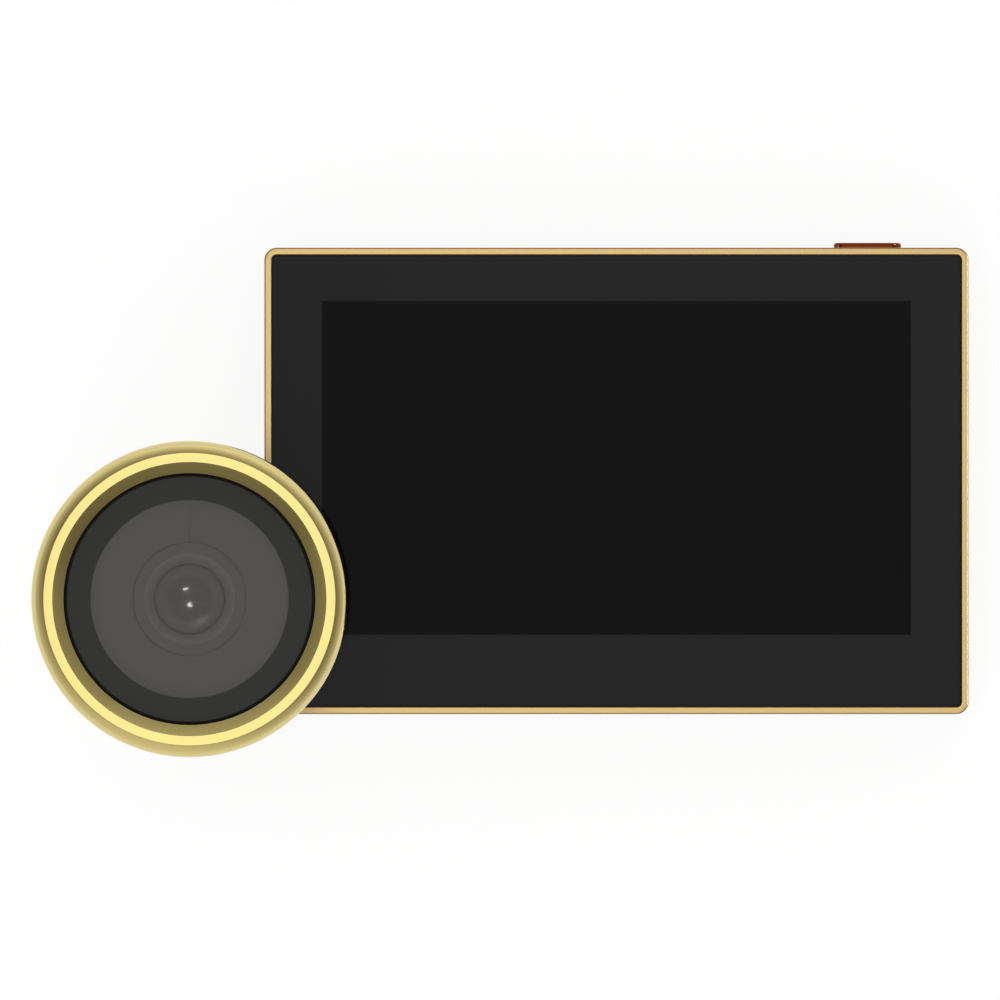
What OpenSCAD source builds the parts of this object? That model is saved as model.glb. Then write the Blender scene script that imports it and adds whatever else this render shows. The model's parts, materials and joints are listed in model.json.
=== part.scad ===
// Peephole door camera: an indoor monitor on its door bracket and an outdoor camera on a threaded barrel.
// The set lies on a flat surface with the screen and the lens facing up: the monitor on its bracket,
// the camera standing on the end of its barrel with its head over the monitor's lower left corner.
// Z points up, X to the right of the screen and Y to its top edge. Sizes are in millimetres.

/* [Screen] */
// Width of the lit area
screen_w = 95.04; // [85:0.02:110]
// Height of the lit area
screen_h = 53.86; // [48:0.02:64]
// Display panel's border left and right of the lit area
panel_side = 5.3; // [4:0.1:7]
// Display panel's border above the lit area
panel_top = 4.6; // [3.5:0.1:6]
// Display panel's border below the lit area
panel_bottom = 8.8; // [7:0.1:11]
// Thickness of the whole display panel
panel_t = 3; // [2.6:0.1:4]
// Sheet of the panel's steel tray
tray_t = 0.3; // [0.2:0.05:0.5]
// Thickness of the light guide behind the display glass
guide_t = 1.2; // [0.8:0.1:1.6]

/* [Monitor case] */
// Case edge outside the display panel, on each side
case_margin = 4; // [3.6:0.1:6]
// Width of the frame's bright lip round the glass
lip_w = 1.05; // [0.8:0.05:1.4]
// Rounding of the frame's front edge
frame_edge_r = 0.3; // [0.1:0.05:0.5]
// Thickness of the cover glass
glass_t = 1.1; // [0.7:0.1:2]
// How far the cover glass lies below the frame's lip
glass_recess = 0.25; // [0.05:0.05:0.5]
// Gap between the cover glass and the frame's lip
glass_gap = 0.22; // [0.1:0.02:0.4]
// Thickness of the adhesive frame under the cover glass
tape_t = 0.3; // [0.2:0.05:0.5]
// Thickness of the frame's shelf behind the display panel
shelf_t = 1.4; // [1:0.1:2]
// How far the shelf reaches under the display panel
shelf_in = 3; // [2:0.1:4]
// Height of the rear cover's tongue inside the frame
tongue_h = 0.7; // [0.5:0.1:1.2]
// Side wall of the rear cover
rear_wall = 1.8; // [1.6:0.1:2.4]
// Back wall of the rear cover
rear_floor = 1.6; // [1.2:0.1:2.4]
// Rounding of the rear cover's back edge
rear_edge_r = 1.4; // [0.6:0.1:1.5]
// Inner corner radius of the case
corner_in_r = 0.2; // [0.1:0.1:2]
// Gap between the rear cover's rim and the door
rim_gap = 0.4; // [0.2:0.1:0.8]
// Clearance between pieces that fit together
fit_gap = 0.1; // [0.05:0.01:0.15]

/* [Case screws] */
// Shank diameter of the case screws
case_screw_d = 2; // [1.6:0.1:2.5]
// Head diameter of the case screws
case_head_d = 3.8; // [3.4:0.1:4.2]
// Head height of the case screws
case_head_h = 1.3; // [1:0.1:1.6]
// Depth of the screw heads below the rear rim
case_head_sink = 1.2; // [0.8:0.1:2]
// Distance of the case screws from the case's sides
case_screw_in = 4.8; // [4.6:0.1:6]
// Diameter of the screw bosses and lugs
boss_d = 5.2; // [4.8:0.1:6]
// Length of the frame's screw lugs below its shelf
lug_drop = 2.5; // [2:0.1:3.5]

/* [Power button] */
// Length of the button along the top edge
button_w = 10.9; // [8:0.1:14]
// Width of the button across the edge
button_t = 3; // [2.4:0.1:3.6]
// How far the button stands out of the case
button_proud = 0.84; // [0.5:0.02:1.4]
// Rounding of the button's edges
button_edge_r = 0.35; // [0.1:0.05:0.45]
// Gap round the button in its slot
button_gap = 0.15; // [0.1:0.05:0.3]
// Width and thickness of the flange that keeps the button in
button_flange = 0.6; // [0.4:0.05:0.9]
// Distance of the button's middle from the case's right side
button_from_right = 16.25; // [13:0.05:22]
// Travel of the button
button_travel = 0.4; // [0.2:0.05:0.6]

/* [Inside the monitor] */
// Thickness of the main board
board_t = 1.2; // [0.8:0.1:1.6]
// Gap between the main board and the walls beside it
board_gap = 1.3; // [1:0.1:2]
// Free room between the tallest piece under the board and the back wall
under_gap = 0.7; // [0.5:0.1:1.5]
// Height of the shield can on the main board
shield_h = 1.8; // [1.2:0.1:2.4]
// Side of the shield can
shield_w = 24; // [16:1:28]
// Sheet of the shield can
shield_t = 0.2; // [0.15:0.05:0.3]
// Gap between the shield can and the display panel
shield_gap = 0.75; // [0.4:0.05:1.5]
// Width of the battery pack
battery_w = 36; // [30:0.5:42]
// Thickness of the battery pack
battery_t = 5; // [4:0.1:6.5]
// Thickness of the adhesive pad that holds the battery
battery_pad_t = 0.8; // [0.4:0.1:1.2]
// Gap round the battery pack
battery_gap = 0.4; // [0.3:0.1:1]
// Length of the speaker along the lower edge
speaker_w = 26; // [20:1:32]
// Depth of the speaker behind its gasket
speaker_d = 5.5; // [4:0.1:6]
// Height of the speaker
speaker_h = 5; // [4:0.1:5.6]
// Thickness of the speaker's gasket
gasket_t = 0.8; // [0.5:0.1:1.2]
// Number of slots in the speaker's grille
grille_count = 9; // [5:2:11]
// Width of a slot in the speaker's grille
grille_slot = 1.2; // [0.8:0.1:1.4]
// Height of the key switch under the main board
switch_h = 3.6; // [3:0.1:4.2]
// Width of the key switch
switch_w = 6; // [5:0.1:7]
// Depth of the key switch's axis below the main board
switch_drop = 1.9; // [1.7:0.1:2.2]
// Diameter of the key switch's plunger
plunger_d = 1.8; // [1.4:0.1:2.2]
// Width of the charging socket's mouth
usb_w = 8.9; // [8:0.1:10]
// Height of the charging socket
usb_h = 3.2; // [2.6:0.1:3.6]
// Depth of the charging socket
usb_d = 7.3; // [6:0.1:9]
// Width of the memory card socket
card_w = 14; // [12:0.5:16]
// Height of the memory card socket
card_h = 1.5; // [1.2:0.1:2]
// Depth of the memory card socket
card_d = 15; // [13:0.5:16]
// Shank diameter of the small screws on the boards
small_screw_d = 1.6; // [1.2:0.1:2]
// Head diameter of the small screws
small_head_d = 3; // [2.6:0.1:3.2]
// Head height of the small screws
small_head_h = 0.9; // [0.6:0.1:1.1]

/* [Door bracket] */
// Width of the bracket
bracket_w = 76; // [66:1:86]
// Height of the bracket
bracket_h = 46; // [42:1:50]
// Sheet of the bracket
bracket_t = 1.2; // [0.8:0.1:1.6]
// Corner radius of the bracket
bracket_corner_r = 4; // [1:0.5:7]
// Gap between the bracket and the back of the monitor
bracket_gap = 0.3; // [0.2:0.1:0.6]
// Gap between the bracket's edge and the recess in the rear cover
pocket_gap = 1; // [0.5:0.1:2]
// Width of a hook
hook_w = 8; // [6:0.5:10]
// Length of a hook's tip
hook_l = 5; // [4:0.1:6]
// Inner radius of a hook's bend
hook_bend_r = 0.5; // [0.3:0.1:0.6]
// Distance of a hook's middle from the bracket's side
hook_from_side = 8; // [7:0.5:10]
// Distance of the upper hooks' stems from the bracket's upper edge
hook_from_top = 13; // [10:0.5:15]
// Distance of the lower hooks' stems from the bracket's lower edge
hook_from_bottom = 10; // [9.5:0.5:12]
// Extra lift that frees the hooks
lift_spare = 1; // [0.5:0.1:1.5]
// Width of the bracket's screw slots
slot_d = 4.2; // [3.2:0.1:5]
// Length of the bracket's screw slots
slot_l = 8; // [6:0.5:10]
// Distance of a screw slot's middle from the hooks beside it
slot_from_hook = 12; // [11:0.5:14]
// Gap between the barrel and its hole in the bracket
hole_gap = 0.4; // [0.2:0.05:0.45]

/* [Camera head] */
// Outer diameter of the bezel ring
camera_d = 50.7; // [44:0.1:58]
// Width of the bezel's rounded flank
flank_w = 1.95; // [1.2:0.05:3]
// Width of the bezel's flat crown
crown_w = 1.4; // [0.8:0.05:3]
// Width of the bezel's inner slope
slope_w = 1.95; // [1:0.05:3]
// Depth of the bezel's inner slope
slope_d = 2.3; // [1:0.1:4]
// Width of the dark gap round the window
seal_w = 0.3; // [0.2:0.02:0.5]
// Width of the dark border of the window
mask_w = 3.9; // [2.5:0.1:5]
// Thickness of the window
window_t = 1.5; // [1:0.1:2.5]
// Depth of the window below the foot of the bezel's slope
window_sink = 0.2; // [0.1:0.05:0.6]
// Gap between the lens ring and the window
window_gap = 0.7; // [0.5:0.1:1.5]
// Thickness of the dark layer under the window's border
mask_t = 0.15; // [0.1:0.05:0.3]
// Thickness of the gasket under the window
seal_t = 0.45; // [0.3:0.05:0.8]
// Width of the bezel's seat under the window
seat_w = 1.6; // [1:0.1:2.2]
// Thickness of the bezel's web under the window
web_t = 1.2; // [0.8:0.1:1.8]
// Thickness of the bezel's skirt
skirt_t = 1.5; // [1:0.1:2]
// Height of the housing below the bezel
base_h = 3.5; // [2.5:0.1:4.5]
// Step of the housing inside the bezel's outline
base_step = 0.9; // [0.4:0.1:1.2]
// Chamfer of the bezel's and the housing's lower edges
base_chamfer = 0.4; // [0.2:0.1:0.8]
// Wall of the housing behind the bezel's skirt
house_wall = 1.9; // [1.4:0.1:2.4]
// Back wall of the housing
house_floor = 2; // [1.4:0.1:3]
// Width of the ledge that carries the sensor board
ledge_w = 3; // [2.6:0.1:3.6]
// Thickness of the sensor board
sensor_board_t = 1.2; // [0.8:0.1:1.6]
// Thickness of the baffle plate
baffle_t = 1; // [0.8:0.1:1.4]
// Wall of the baffle plate's skirt
baffle_wall = 1; // [0.8:0.1:1.4]
// Width of the baffle plate's parting slit
slit_w = 0.16; // [0.1:0.02:0.3]
// Thickness of the foam pad against the door
pad_t = 1; // [0.5:0.1:2]
// Step of the foam pad inside the housing's outline
pad_step = 0.8; // [0.4:0.1:2]

/* [Lens] */
// Diameter of the front lens
lens_d = 10.8; // [9:0.1:12]
// Height of the front lens's dome
dome_h = 1.4; // [0.8:0.1:2]
// Thickness of the front lens at its edge
lens_edge = 1; // [0.7:0.1:1.5]
// Height of the dome's top above the lens ring
dome_proud = 0.3; // [0.1:0.05:0.4]
// Gap between the front lens and the lens ring
lens_gap = 0.35; // [0.2:0.05:0.5]
// Width of the lens ring's inner cone
cone_w = 1.4; // [0.8:0.1:2]
// Width of the lens ring's flat face
ring_flat = 1.9; // [1.2:0.1:2.4]
// Height of the lens ring
ring_h = 1.9; // [1.7:0.1:2.6]
// Thickness of the lens ring's lip over the lens barrel
ring_lip = 0.3; // [0.2:0.05:0.4]
// How far the lens ring stands above the baffle plate
ring_proud = 0.1; // [0.05:0.05:0.4]
// Gap between the lens ring and the baffle plate
ring_gap = 0.12; // [0.08:0.02:0.3]
// Wall of the lens barrel round the front lens
lens_wall = 0.7; // [0.6:0.05:1]
// Diameter of the lens barrel's light path
light_d = 8.4; // [7:0.1:9]
// Step in the lens barrel that carries the rear lens
rear_seat = 0.4; // [0.3:0.1:0.6]
// Thickness of the rear lens
rear_lens_t = 1.2; // [0.8:0.1:1.4]
// Height of the lens holder
holder_h = 3.2; // [3:0.1:4]
// Wall of the lens holder
holder_wall = 2.5; // [1.8:0.1:2.8]
// Width of the image sensor
sensor_w = 6.4; // [5:0.1:7]
// Depth of the image sensor
sensor_d = 5; // [4:0.1:6]
// Thickness of the image sensor
sensor_t = 0.8; // [0.6:0.1:0.9]
// Gap between the image sensor and the lens barrel
sensor_gap = 0.4; // [0.2:0.1:0.6]
// Height of the ribbon sockets
ribbon_h = 1.2; // [0.9:0.1:1.5]
// Width of the ribbon sockets
ribbon_w = 7; // [5:0.5:8]
// Depth of the ribbon sockets
ribbon_d = 3.4; // [2.6:0.2:4.2]

/* [Barrel and clamp] */
// Outer diameter of the barrel's thread
barrel_d = 14; // [13:0.1:16]
// Diameter of the cable bore through the barrel
bore_d = 10.5; // [9.6:0.1:11]
// Length of the barrel below the foam pad
barrel_len = 52; // [44:1:70]
// Chamfer at the barrel's end
barrel_chamfer = 0.8; // [0.4:0.1:1.2]
// Width of the barrel's flange inside the housing
barrel_flange_w = 3; // [2:0.1:5]
// Thickness of the barrel's flange
barrel_flange_t = 1.4; // [1:0.1:2]
// Gap between the barrel's flange and the ribbon socket over it
flange_gap = 0.2; // [0.1:0.1:1]
// Running clearance of the thread in the clamp nut
thread_gap = 0.06; // [0.03:0.01:0.09]
// Rise of the thread in one turn
thread_pitch = 1.5; // [1:0.25:2]
// Depth of the thread below its crest
thread_depth = 0.75; // [0.5:0.05:0.9]
// Flat left on each crest and in each root
thread_flat = 0.2; // [0.1:0.05:0.3]
// Plain length between the thread and the door pad
thread_relief = 2; // [1:0.1:4]
// Wall of the clamp nut's grip
nut_wall = 2.2; // [1.8:0.1:2.8]
// Height of the clamp nut's grip
nut_grip_h = 7.5; // [5:0.5:10]
// Number of flutes round the grip
flute_count = 18; // [10:1:20]
// Radius of a flute
flute_r = 0.9; // [0.6:0.1:1.1]
// Width of the clamp nut's flange beyond its grip
nut_flange_w = 1.2; // [0.8:0.1:2]
// Thickness of the clamp nut's flange
nut_flange_t = 2.2; // [1.5:0.1:3]
// Height of the clamp nut's foot above the end of the barrel
nut_foot = 1; // [0.5:0.1:3]
// Thickness of the clamp washer
washer_t = 1.2; // [0.8:0.1:2]
// Clearance of the clamp washer on the barrel
washer_gap = 0.2; // [0.1:0.05:0.3]

/* [Layout] */
// Gap between the clamp nut and the monitor's side
clamp_gap = 1.25; // [1:0.05:10]
// Distance of the camera's axis below the monitor's middle
camera_down = 18.95; // [10:0.05:28]

/* [Hidden] */
$fn = 64;

// Colours of the finishes
GOLD_SATIN = "#dbb876";
GOLD_POLISHED = "#e8d28c";
COPPER = "#7b3513";
GLASS_BLACK = "#292929";
SCREEN_BLACK = "#171717";
PLASTIC_BLACK = "#26262a";
PLASTIC_GREY = "#545251";
STEEL = "#b9bcc0";
BOARD_GREEN = "#1f4a2c";
FOAM_BLACK = "#1b1b1c";
CLEAR = "#c8d4d8";
BATTERY_BLUE = "#3d5f8c";

// Overlap of a cut past the face that it opens
CUT = 1;
// Cross recess of a screw, as shares of its head: span, width and depth
RECESS = [0.55, 0.14, 0.5];

// Display panel and monitor outline
panel_w = screen_w + 2 * panel_side;
panel_h = screen_h + panel_top + panel_bottom;
in_tray = [panel_w - 2 * (tray_t + fit_gap), panel_h - 2 * (tray_t + fit_gap)];
monitor_w = panel_w + 2 * case_margin;
monitor_h = panel_h + 2 * case_margin;
screen_up = (panel_bottom - panel_top) / 2;
corner_r = rear_wall + corner_in_r;
inner_x = monitor_w / 2 - rear_wall;
inner_y = monitor_h / 2 - rear_wall;
glass_w = monitor_w - 2 * (lip_w + glass_gap);
glass_h = monitor_h - 2 * (lip_w + glass_gap);
glass_corner_r = max(corner_r - lip_w - glass_gap, 0.2);

// Heights in the monitor, from the door up to the front
pocket_z = bracket_t + bracket_gap;
floor_z = pocket_z + rear_floor;
rim_top_z = rim_gap + rear_floor;
hook_z = floor_z + bracket_gap;
hook_top_z = hook_z + bracket_t;
board_room = max(usb_h, switch_h, card_h, ribbon_h) + under_gap + board_t + shield_h + shield_gap;
battery_room = hook_top_z - floor_z + battery_gap + battery_t + battery_pad_t;
panel_z = floor_z + max(board_room, battery_room);
board_z = panel_z - shield_gap - shield_h - board_t;
tape_z = panel_z + panel_t;
glass_z = tape_z + tape_t;
front_z = glass_z + glass_t + glass_recess;
shelf_z = panel_z - shelf_t;
seam_z = shelf_z - tongue_h - fit_gap;
lug_z = shelf_z - lug_drop;

// Case screws
case_screw_x = monitor_w / 2 - case_screw_in;
case_screw_y = monitor_h / 2 - case_screw_in;
case_head_z = rim_gap + case_head_sink;
case_seat_z = case_head_z + case_head_h;
case_bite = 1.1;

// Main board and the pieces on it
shelf_open_w = panel_w - 2 * shelf_in;
shelf_open_h = panel_h - 2 * shelf_in;
battery_x0 = -shelf_open_w / 2 + battery_gap;
board_x0 = battery_x0 + battery_w + board_gap;
board_x1 = inner_x - board_gap;
board_w = board_x1 - board_x0;
board_end_gap = 2.3;
board_h = 2 * (inner_y - board_end_gap);
notch_gap = 0.6;
notch = case_screw_in + boss_d / 2 - rear_wall - board_gap + notch_gap;
board_hole_in = 3;
board_hole_right = 25.7;
board_hole_x = [board_x0 + board_hole_in, board_x1 - board_hole_right];
board_hole_y = board_h / 2 - board_hole_in;
post_wall = 1.3;
board_post_d = small_screw_d + 2 * post_wall;
usb_x = (board_hole_x[0] + board_hole_x[1]) / 2;
usb_z = board_z - usb_h / 2;
usb_gap = 0.25;
usb_shell = 0.35;
socket_back = 1;
usb_tongue = [usb_w * 0.72, usb_h * 0.22];
card_y = -4;
card_mouth = [card_w - 3, card_h - 0.6];
card_slot_w = card_w - 2;
shield_at = [(board_hole_x[0] + board_hole_x[1]) / 2, board_h / 6];
shield_corner_r = 0.6;
socket_in = 12;
socket_x = board_x0 + socket_in;
ribbon_mouth = [ribbon_w - 1.2, ribbon_d / 3];
ribbon_window = [ribbon_w + 7, ribbon_d + 5];
ribbon_window_r = 1;

// Power button and its switch
button_x = monitor_w / 2 - button_from_right;
button_z = board_z - switch_drop;
flange_y = inner_y - fit_gap / 2;
plunger_y = flange_y - button_flange;
switch_gap = 0.35;
switch_y = plunger_y - button_travel - switch_gap;
switch_depth = 3.4;
plunger_in = 1.2;

// Battery and speaker
speaker_x = battery_x0 + battery_w / 2;
speaker_y = -inner_y + gasket_t;
speaker_z = floor_z + fit_gap;
speaker_corner_r = 1;
speaker_cone = [speaker_w - 4, speaker_h - 1.4];
cone_depth = 0.9;
gasket_open = [speaker_w - 3, speaker_h - 1];
grille_l = speaker_h - 1;
grille_pitch = 2 * grille_slot;
battery_y0 = speaker_y + speaker_d + battery_gap;
battery_y1 = case_screw_y - boss_d / 2 - battery_gap;
battery_h = battery_y1 - battery_y0;
battery_z = panel_z - battery_pad_t - battery_t;
pad_in = 3;

// Door bracket and the recess for it
lift = hook_l + lift_spare;
hook_x = bracket_w / 2 - hook_from_side;
hook_rows = [bracket_h / 2 - hook_from_top, -bracket_h / 2 + hook_from_bottom];
hook_tab = hook_top_z + hook_l;
pocket_w = bracket_w + 2 * pocket_gap;
pocket_top = bracket_h / 2 + pocket_gap;
pocket_bottom = -bracket_h / 2 - lift - pocket_gap;
hole_d = barrel_d + 2 * hole_gap;
slot_gap = 0.3;
slot_x = hook_x - slot_from_hook;

// Radii of the camera head, from the outside in
camera_r = camera_d / 2;
crown_out_r = camera_r - flank_w;
crown_in_r = crown_out_r - crown_w;
throat_r = crown_in_r - slope_w;
window_r = throat_r - seal_w;
window_edge = 0.2;
view_r = window_r - mask_w;
seat_r = window_r - seat_w;
skirt_r = camera_r - skirt_t;
base_r = camera_r - base_step;
neck_r = skirt_r - fit_gap;
cavity_r = neck_r - house_wall;
barrel_r = barrel_d / 2;
lens_r = lens_d / 2;
lens_barrel_r = lens_r + lens_wall;
holder_bore_r = lens_barrel_r + fit_gap;
ring_in_r = lens_r + lens_gap;
ring_edge_r = ring_in_r + cone_w;
ring_out_r = ring_edge_r + ring_flat;
baffle_r = seat_r - 3 * fit_gap;
sensor_screw_r = cavity_r - ledge_w / 2;

// Heights in the camera head, from the housing's back
sensor_board_z = house_floor + barrel_flange_t + flange_gap + ribbon_h;
holder_z = sensor_board_z + sensor_board_t;
ring_z = holder_z + holder_h;
ring_top_z = ring_z + ring_h;
baffle_z = ring_top_z - ring_proud - baffle_t;
dome_top_z = ring_top_z + dome_proud;
lens_z = dome_top_z - dome_h - lens_edge;
lens_barrel_z = holder_z + sensor_t + sensor_gap;
lens_barrel_top_z = ring_top_z - 2 * ring_lip - fit_gap;
window_z = ring_top_z + window_gap;
mask_z = window_z - mask_t;
seat_z = mask_z - seal_t;
web_z = seat_z - web_t;
slope_z = window_z + window_t + window_sink;
crown_z = slope_z + slope_d;
seal_top_z = window_z + window_t - 2 * window_sink;

// Clamp nut and washer, from the end of the barrel
nut_bore_r = barrel_r + thread_gap;
nut_r = nut_bore_r + nut_wall;
nut_flange_r = nut_r + nut_flange_w;
nut_h = nut_grip_h + nut_flange_t;
washer_z = nut_foot + nut_h + fit_gap / 2;

// Places of the two units, with the origin under the middle of the set
camera_dx = -(monitor_w / 2 + nut_flange_r + clamp_gap);
monitor_x = -(camera_dx - camera_r + monitor_w / 2) / 2;
monitor_y = -(monitor_h / 2 + button_proud - camera_down - camera_r) / 2;
camera_x = monitor_x + camera_dx;
camera_y = monitor_y - camera_down;
head_z = barrel_len + pad_t;

// Places its children at a height on the monitor's middle
module at_monitor(z = 0) {
  translate([monitor_x, monitor_y, z]) children();
}

// Places its children at a height on the camera's axis
module at_camera(z = 0) {
  translate([camera_x, camera_y, z]) children();
}

// Rectangle with round corners
module rounded_rect(w, h, r) {
  square([w - 2 * r, h], center = true);
  square([w, h - 2 * r], center = true);
  for (sx = [-1, 1], sy = [-1, 1])
    translate([sx * (w / 2 - r), sy * (h / 2 - r)]) circle(r);
}

// Rectangle with round ends
module stadium(w, t) {
  square([w - t, t], center = true);
  for (side = [-1, 1]) translate([side * (w - t) / 2, 0]) circle(d = t);
}

// Flat ring between two rounded rectangles
module rect_ring(w, h, r, in_w, in_h, in_r) {
  difference() {
    rounded_rect(w, h, r);
    rounded_rect(in_w, in_h, in_r);
  }
}

// Flat ring between two radii
module disc_ring(r, in_r, h) {
  linear_extrude(h) difference() {
    circle(r);
    circle(in_r);
  }
}

// Quarter of a disc, in the corner of the positive axes
module quarter_disc(r) {
  intersection() {
    circle(r);
    square(r);
  }
}

// Wall section with its outer top corner rounded, its outside on the line x = 0
module rounded_wall(wall, h, r) {
  translate([-wall, 0]) square([wall, h - r]);
  translate([-wall, 0]) square([wall - r, h]);
  translate([-r, h - r]) quarter_disc(r);
}

// Carries a wall section round a rounded rectangle
module edge_sweep(w, h, r) {
  for (turn = [0 : 3])
    rotate(90 * turn) {
      out = turn % 2 == 0 ? w : h;
      along = turn % 2 == 0 ? h : w;
      translate([out / 2, along / 2 - r, 0]) rotate([90, 0, 0])
        linear_extrude(along - 2 * r) children();
      translate([out / 2 - r, along / 2 - r, 0]) rotate_extrude(angle = 90) translate([r, 0]) children();
    }
}

// Half section of a bar with its top edge rounded
module half_bar(t, h, r) {
  square([t / 2 - r, h]);
  square([t / 2, h - r]);
  translate([t / 2 - r, h - r]) quarter_disc(r);
}

// Bar with round ends and a rounded top edge
module rounded_bar(w, t, h, r) {
  span = w - t;
  rotate([90, 0, 90]) translate([0, 0, -span / 2]) linear_extrude(span) {
    half_bar(t, h, r);
    mirror([1, 0]) half_bar(t, h, r);
  }
  for (end = [0, 1])
    rotate(180 * end) translate([span / 2, 0, 0]) rotate(-90)
      rotate_extrude(angle = 180) half_bar(t, h, r);
}

// Screw with a cheese head and a cross recess, its head's seat at z = 0 and its shank below
module cheese_screw(shank_d, shank_l, head_d, head_h) {
  recess = [head_d * RECESS[0], head_d * RECESS[1], 2 * head_h * RECESS[2]];
  translate([0, 0, -shank_l]) cylinder(d = shank_d, h = shank_l);
  difference() {
    cylinder(d = head_d, h = head_h);
    for (turn = [0, 90])
      rotate(turn) translate([0, 0, head_h]) cube(recess, center = true);
  }
}

// Copies its children to the four case screws
module at_case_screws() {
  for (sx = [-1, 1], sy = [-1, 1]) translate([sx * case_screw_x, sy * case_screw_y, 0]) children();
}

// Copies its children to the four fixings of the main board
module at_board_holes() {
  for (x = board_hole_x, sy = [-1, 1]) translate([x, sy * board_hole_y, 0]) children();
}

// Copies its children to the three fixings of the sensor board
module at_sensor_screws() {
  for (turn = [0 : 2]) rotate(90 + 120 * turn) translate([sensor_screw_r, 0, 0]) children();
}

// Copies its children to the stems of the four hooks
module at_hooks() {
  for (sx = [-1, 1], y = hook_rows) translate([sx * hook_x, y, 0]) children();
}

// Gold band round the monitor, with the glass seat, the panel's shelf and four screw lugs inside
module front_frame() {
  core = [monitor_w - lip_w, monitor_h - lip_w, corner_r - lip_w / 2];
  seat = [panel_w + 2 * fit_gap, panel_h + 2 * fit_gap];
  color(GOLD_SATIN) at_monitor() difference() {
    union() {
      translate([0, 0, seam_z])
        edge_sweep(monitor_w, monitor_h, corner_r) rounded_wall(lip_w, front_z - seam_z, frame_edge_r);
      translate([0, 0, panel_z]) linear_extrude(panel_t)
        rect_ring(core[0], core[1], core[2], seat[0], seat[1], corner_in_r);
      translate([0, 0, shelf_z]) linear_extrude(shelf_t)
        rect_ring(core[0], core[1], core[2], shelf_open_w, shelf_open_h, corner_r);
      at_case_screws() translate([0, 0, lug_z]) cylinder(d = boss_d, h = lug_drop + shelf_t / 2);
    }
    at_case_screws() translate([0, 0, lug_z - CUT])
      cylinder(d = case_screw_d + fit_gap, h = lug_drop + case_bite + CUT);
  }
}

// Black cover glass over the whole front
module cover_glass() {
  color(GLASS_BLACK) at_monitor(glass_z) linear_extrude(glass_t)
    rounded_rect(glass_w, glass_h, glass_corner_r);
}

// Black adhesive frame between the glass, the panel and the case frame
module glass_tape() {
  color(FOAM_BLACK) at_monitor(tape_z) linear_extrude(tape_t) difference() {
    rounded_rect(glass_w, glass_h, glass_corner_r);
    translate([0, screen_up]) square([screen_w, screen_h], center = true);
  }
}

// Glass cell of the display
module display_glass() {
  color(SCREEN_BLACK) at_monitor(panel_z + tray_t + guide_t)
    linear_extrude(panel_t - tray_t - guide_t) square(in_tray, center = true);
}

// Clear sheet that spreads the light behind the display glass
module light_guide() {
  color(CLEAR) at_monitor(panel_z + tray_t) linear_extrude(guide_t) square(in_tray, center = true);
}

// Folded steel tray that holds the display together
module display_tray() {
  color(STEEL) at_monitor(panel_z) difference() {
    linear_extrude(panel_t) square([panel_w, panel_h], center = true);
    translate([0, 0, tray_t]) linear_extrude(panel_t)
      square([panel_w - 2 * tray_t, panel_h - 2 * tray_t], center = true);
  }
}

// Outline of the recess that takes the door bracket, grown by a margin
module pocket_outline(grow = 0) {
  translate([0, (pocket_top + pocket_bottom) / 2])
    rounded_rect(pocket_w + 2 * grow, pocket_top - pocket_bottom + 2 * grow, bracket_corner_r + grow);
}

// Openings in the rear cover: hook slots, ribbon window, screw holes, button, ports and speaker grille
module rear_openings() {
  hook_slot = [hook_w + 2 * slot_gap, lift + bracket_t + 2 * slot_gap, rear_floor + 2 * CUT];
  at_hooks() translate([-hook_slot[0] / 2, bracket_t + fit_gap - hook_slot[1], pocket_z - CUT])
    cube(hook_slot);
  translate([socket_x, 0, pocket_z - CUT]) linear_extrude(rear_floor + 2 * CUT)
    rounded_rect(ribbon_window[0], ribbon_window[1], ribbon_window_r);
  at_case_screws() {
    translate([0, 0, rim_gap - CUT])
      cylinder(d = case_head_d + 4 * fit_gap, h = case_seat_z - rim_gap + CUT);
    translate([0, 0, rim_gap]) cylinder(d = case_screw_d + 2 * fit_gap, h = lug_z);
  }
  at_board_holes() translate([0, 0, floor_z + under_gap])
    cylinder(d = small_screw_d + fit_gap, h = board_z);
  translate([button_x, inner_y - CUT, button_z]) rotate([-90, 0, 0]) linear_extrude(rear_wall + 2 * CUT)
    stadium(button_w + 2 * button_gap, button_t + 2 * button_gap);
  translate([usb_x, -inner_y + CUT, usb_z]) rotate([90, 0, 0]) linear_extrude(rear_wall + 2 * CUT)
    stadium(usb_w + 2 * usb_gap, usb_h + 2 * usb_gap);
  translate([inner_x - CUT, card_y, board_z - card_h / 2]) rotate([90, 0, 90])
    linear_extrude(rear_wall + 2 * CUT) stadium(card_slot_w, card_h);
  translate([speaker_x, -inner_y + CUT, speaker_z + speaker_h / 2])
    for (i = [0 : grille_count - 1])
      translate([(i - (grille_count - 1) / 2) * grille_pitch, 0, 0])
        rotate([90, 90, 0]) linear_extrude(rear_wall + 2 * CUT) stadium(grille_l, grille_slot);
}

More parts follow.
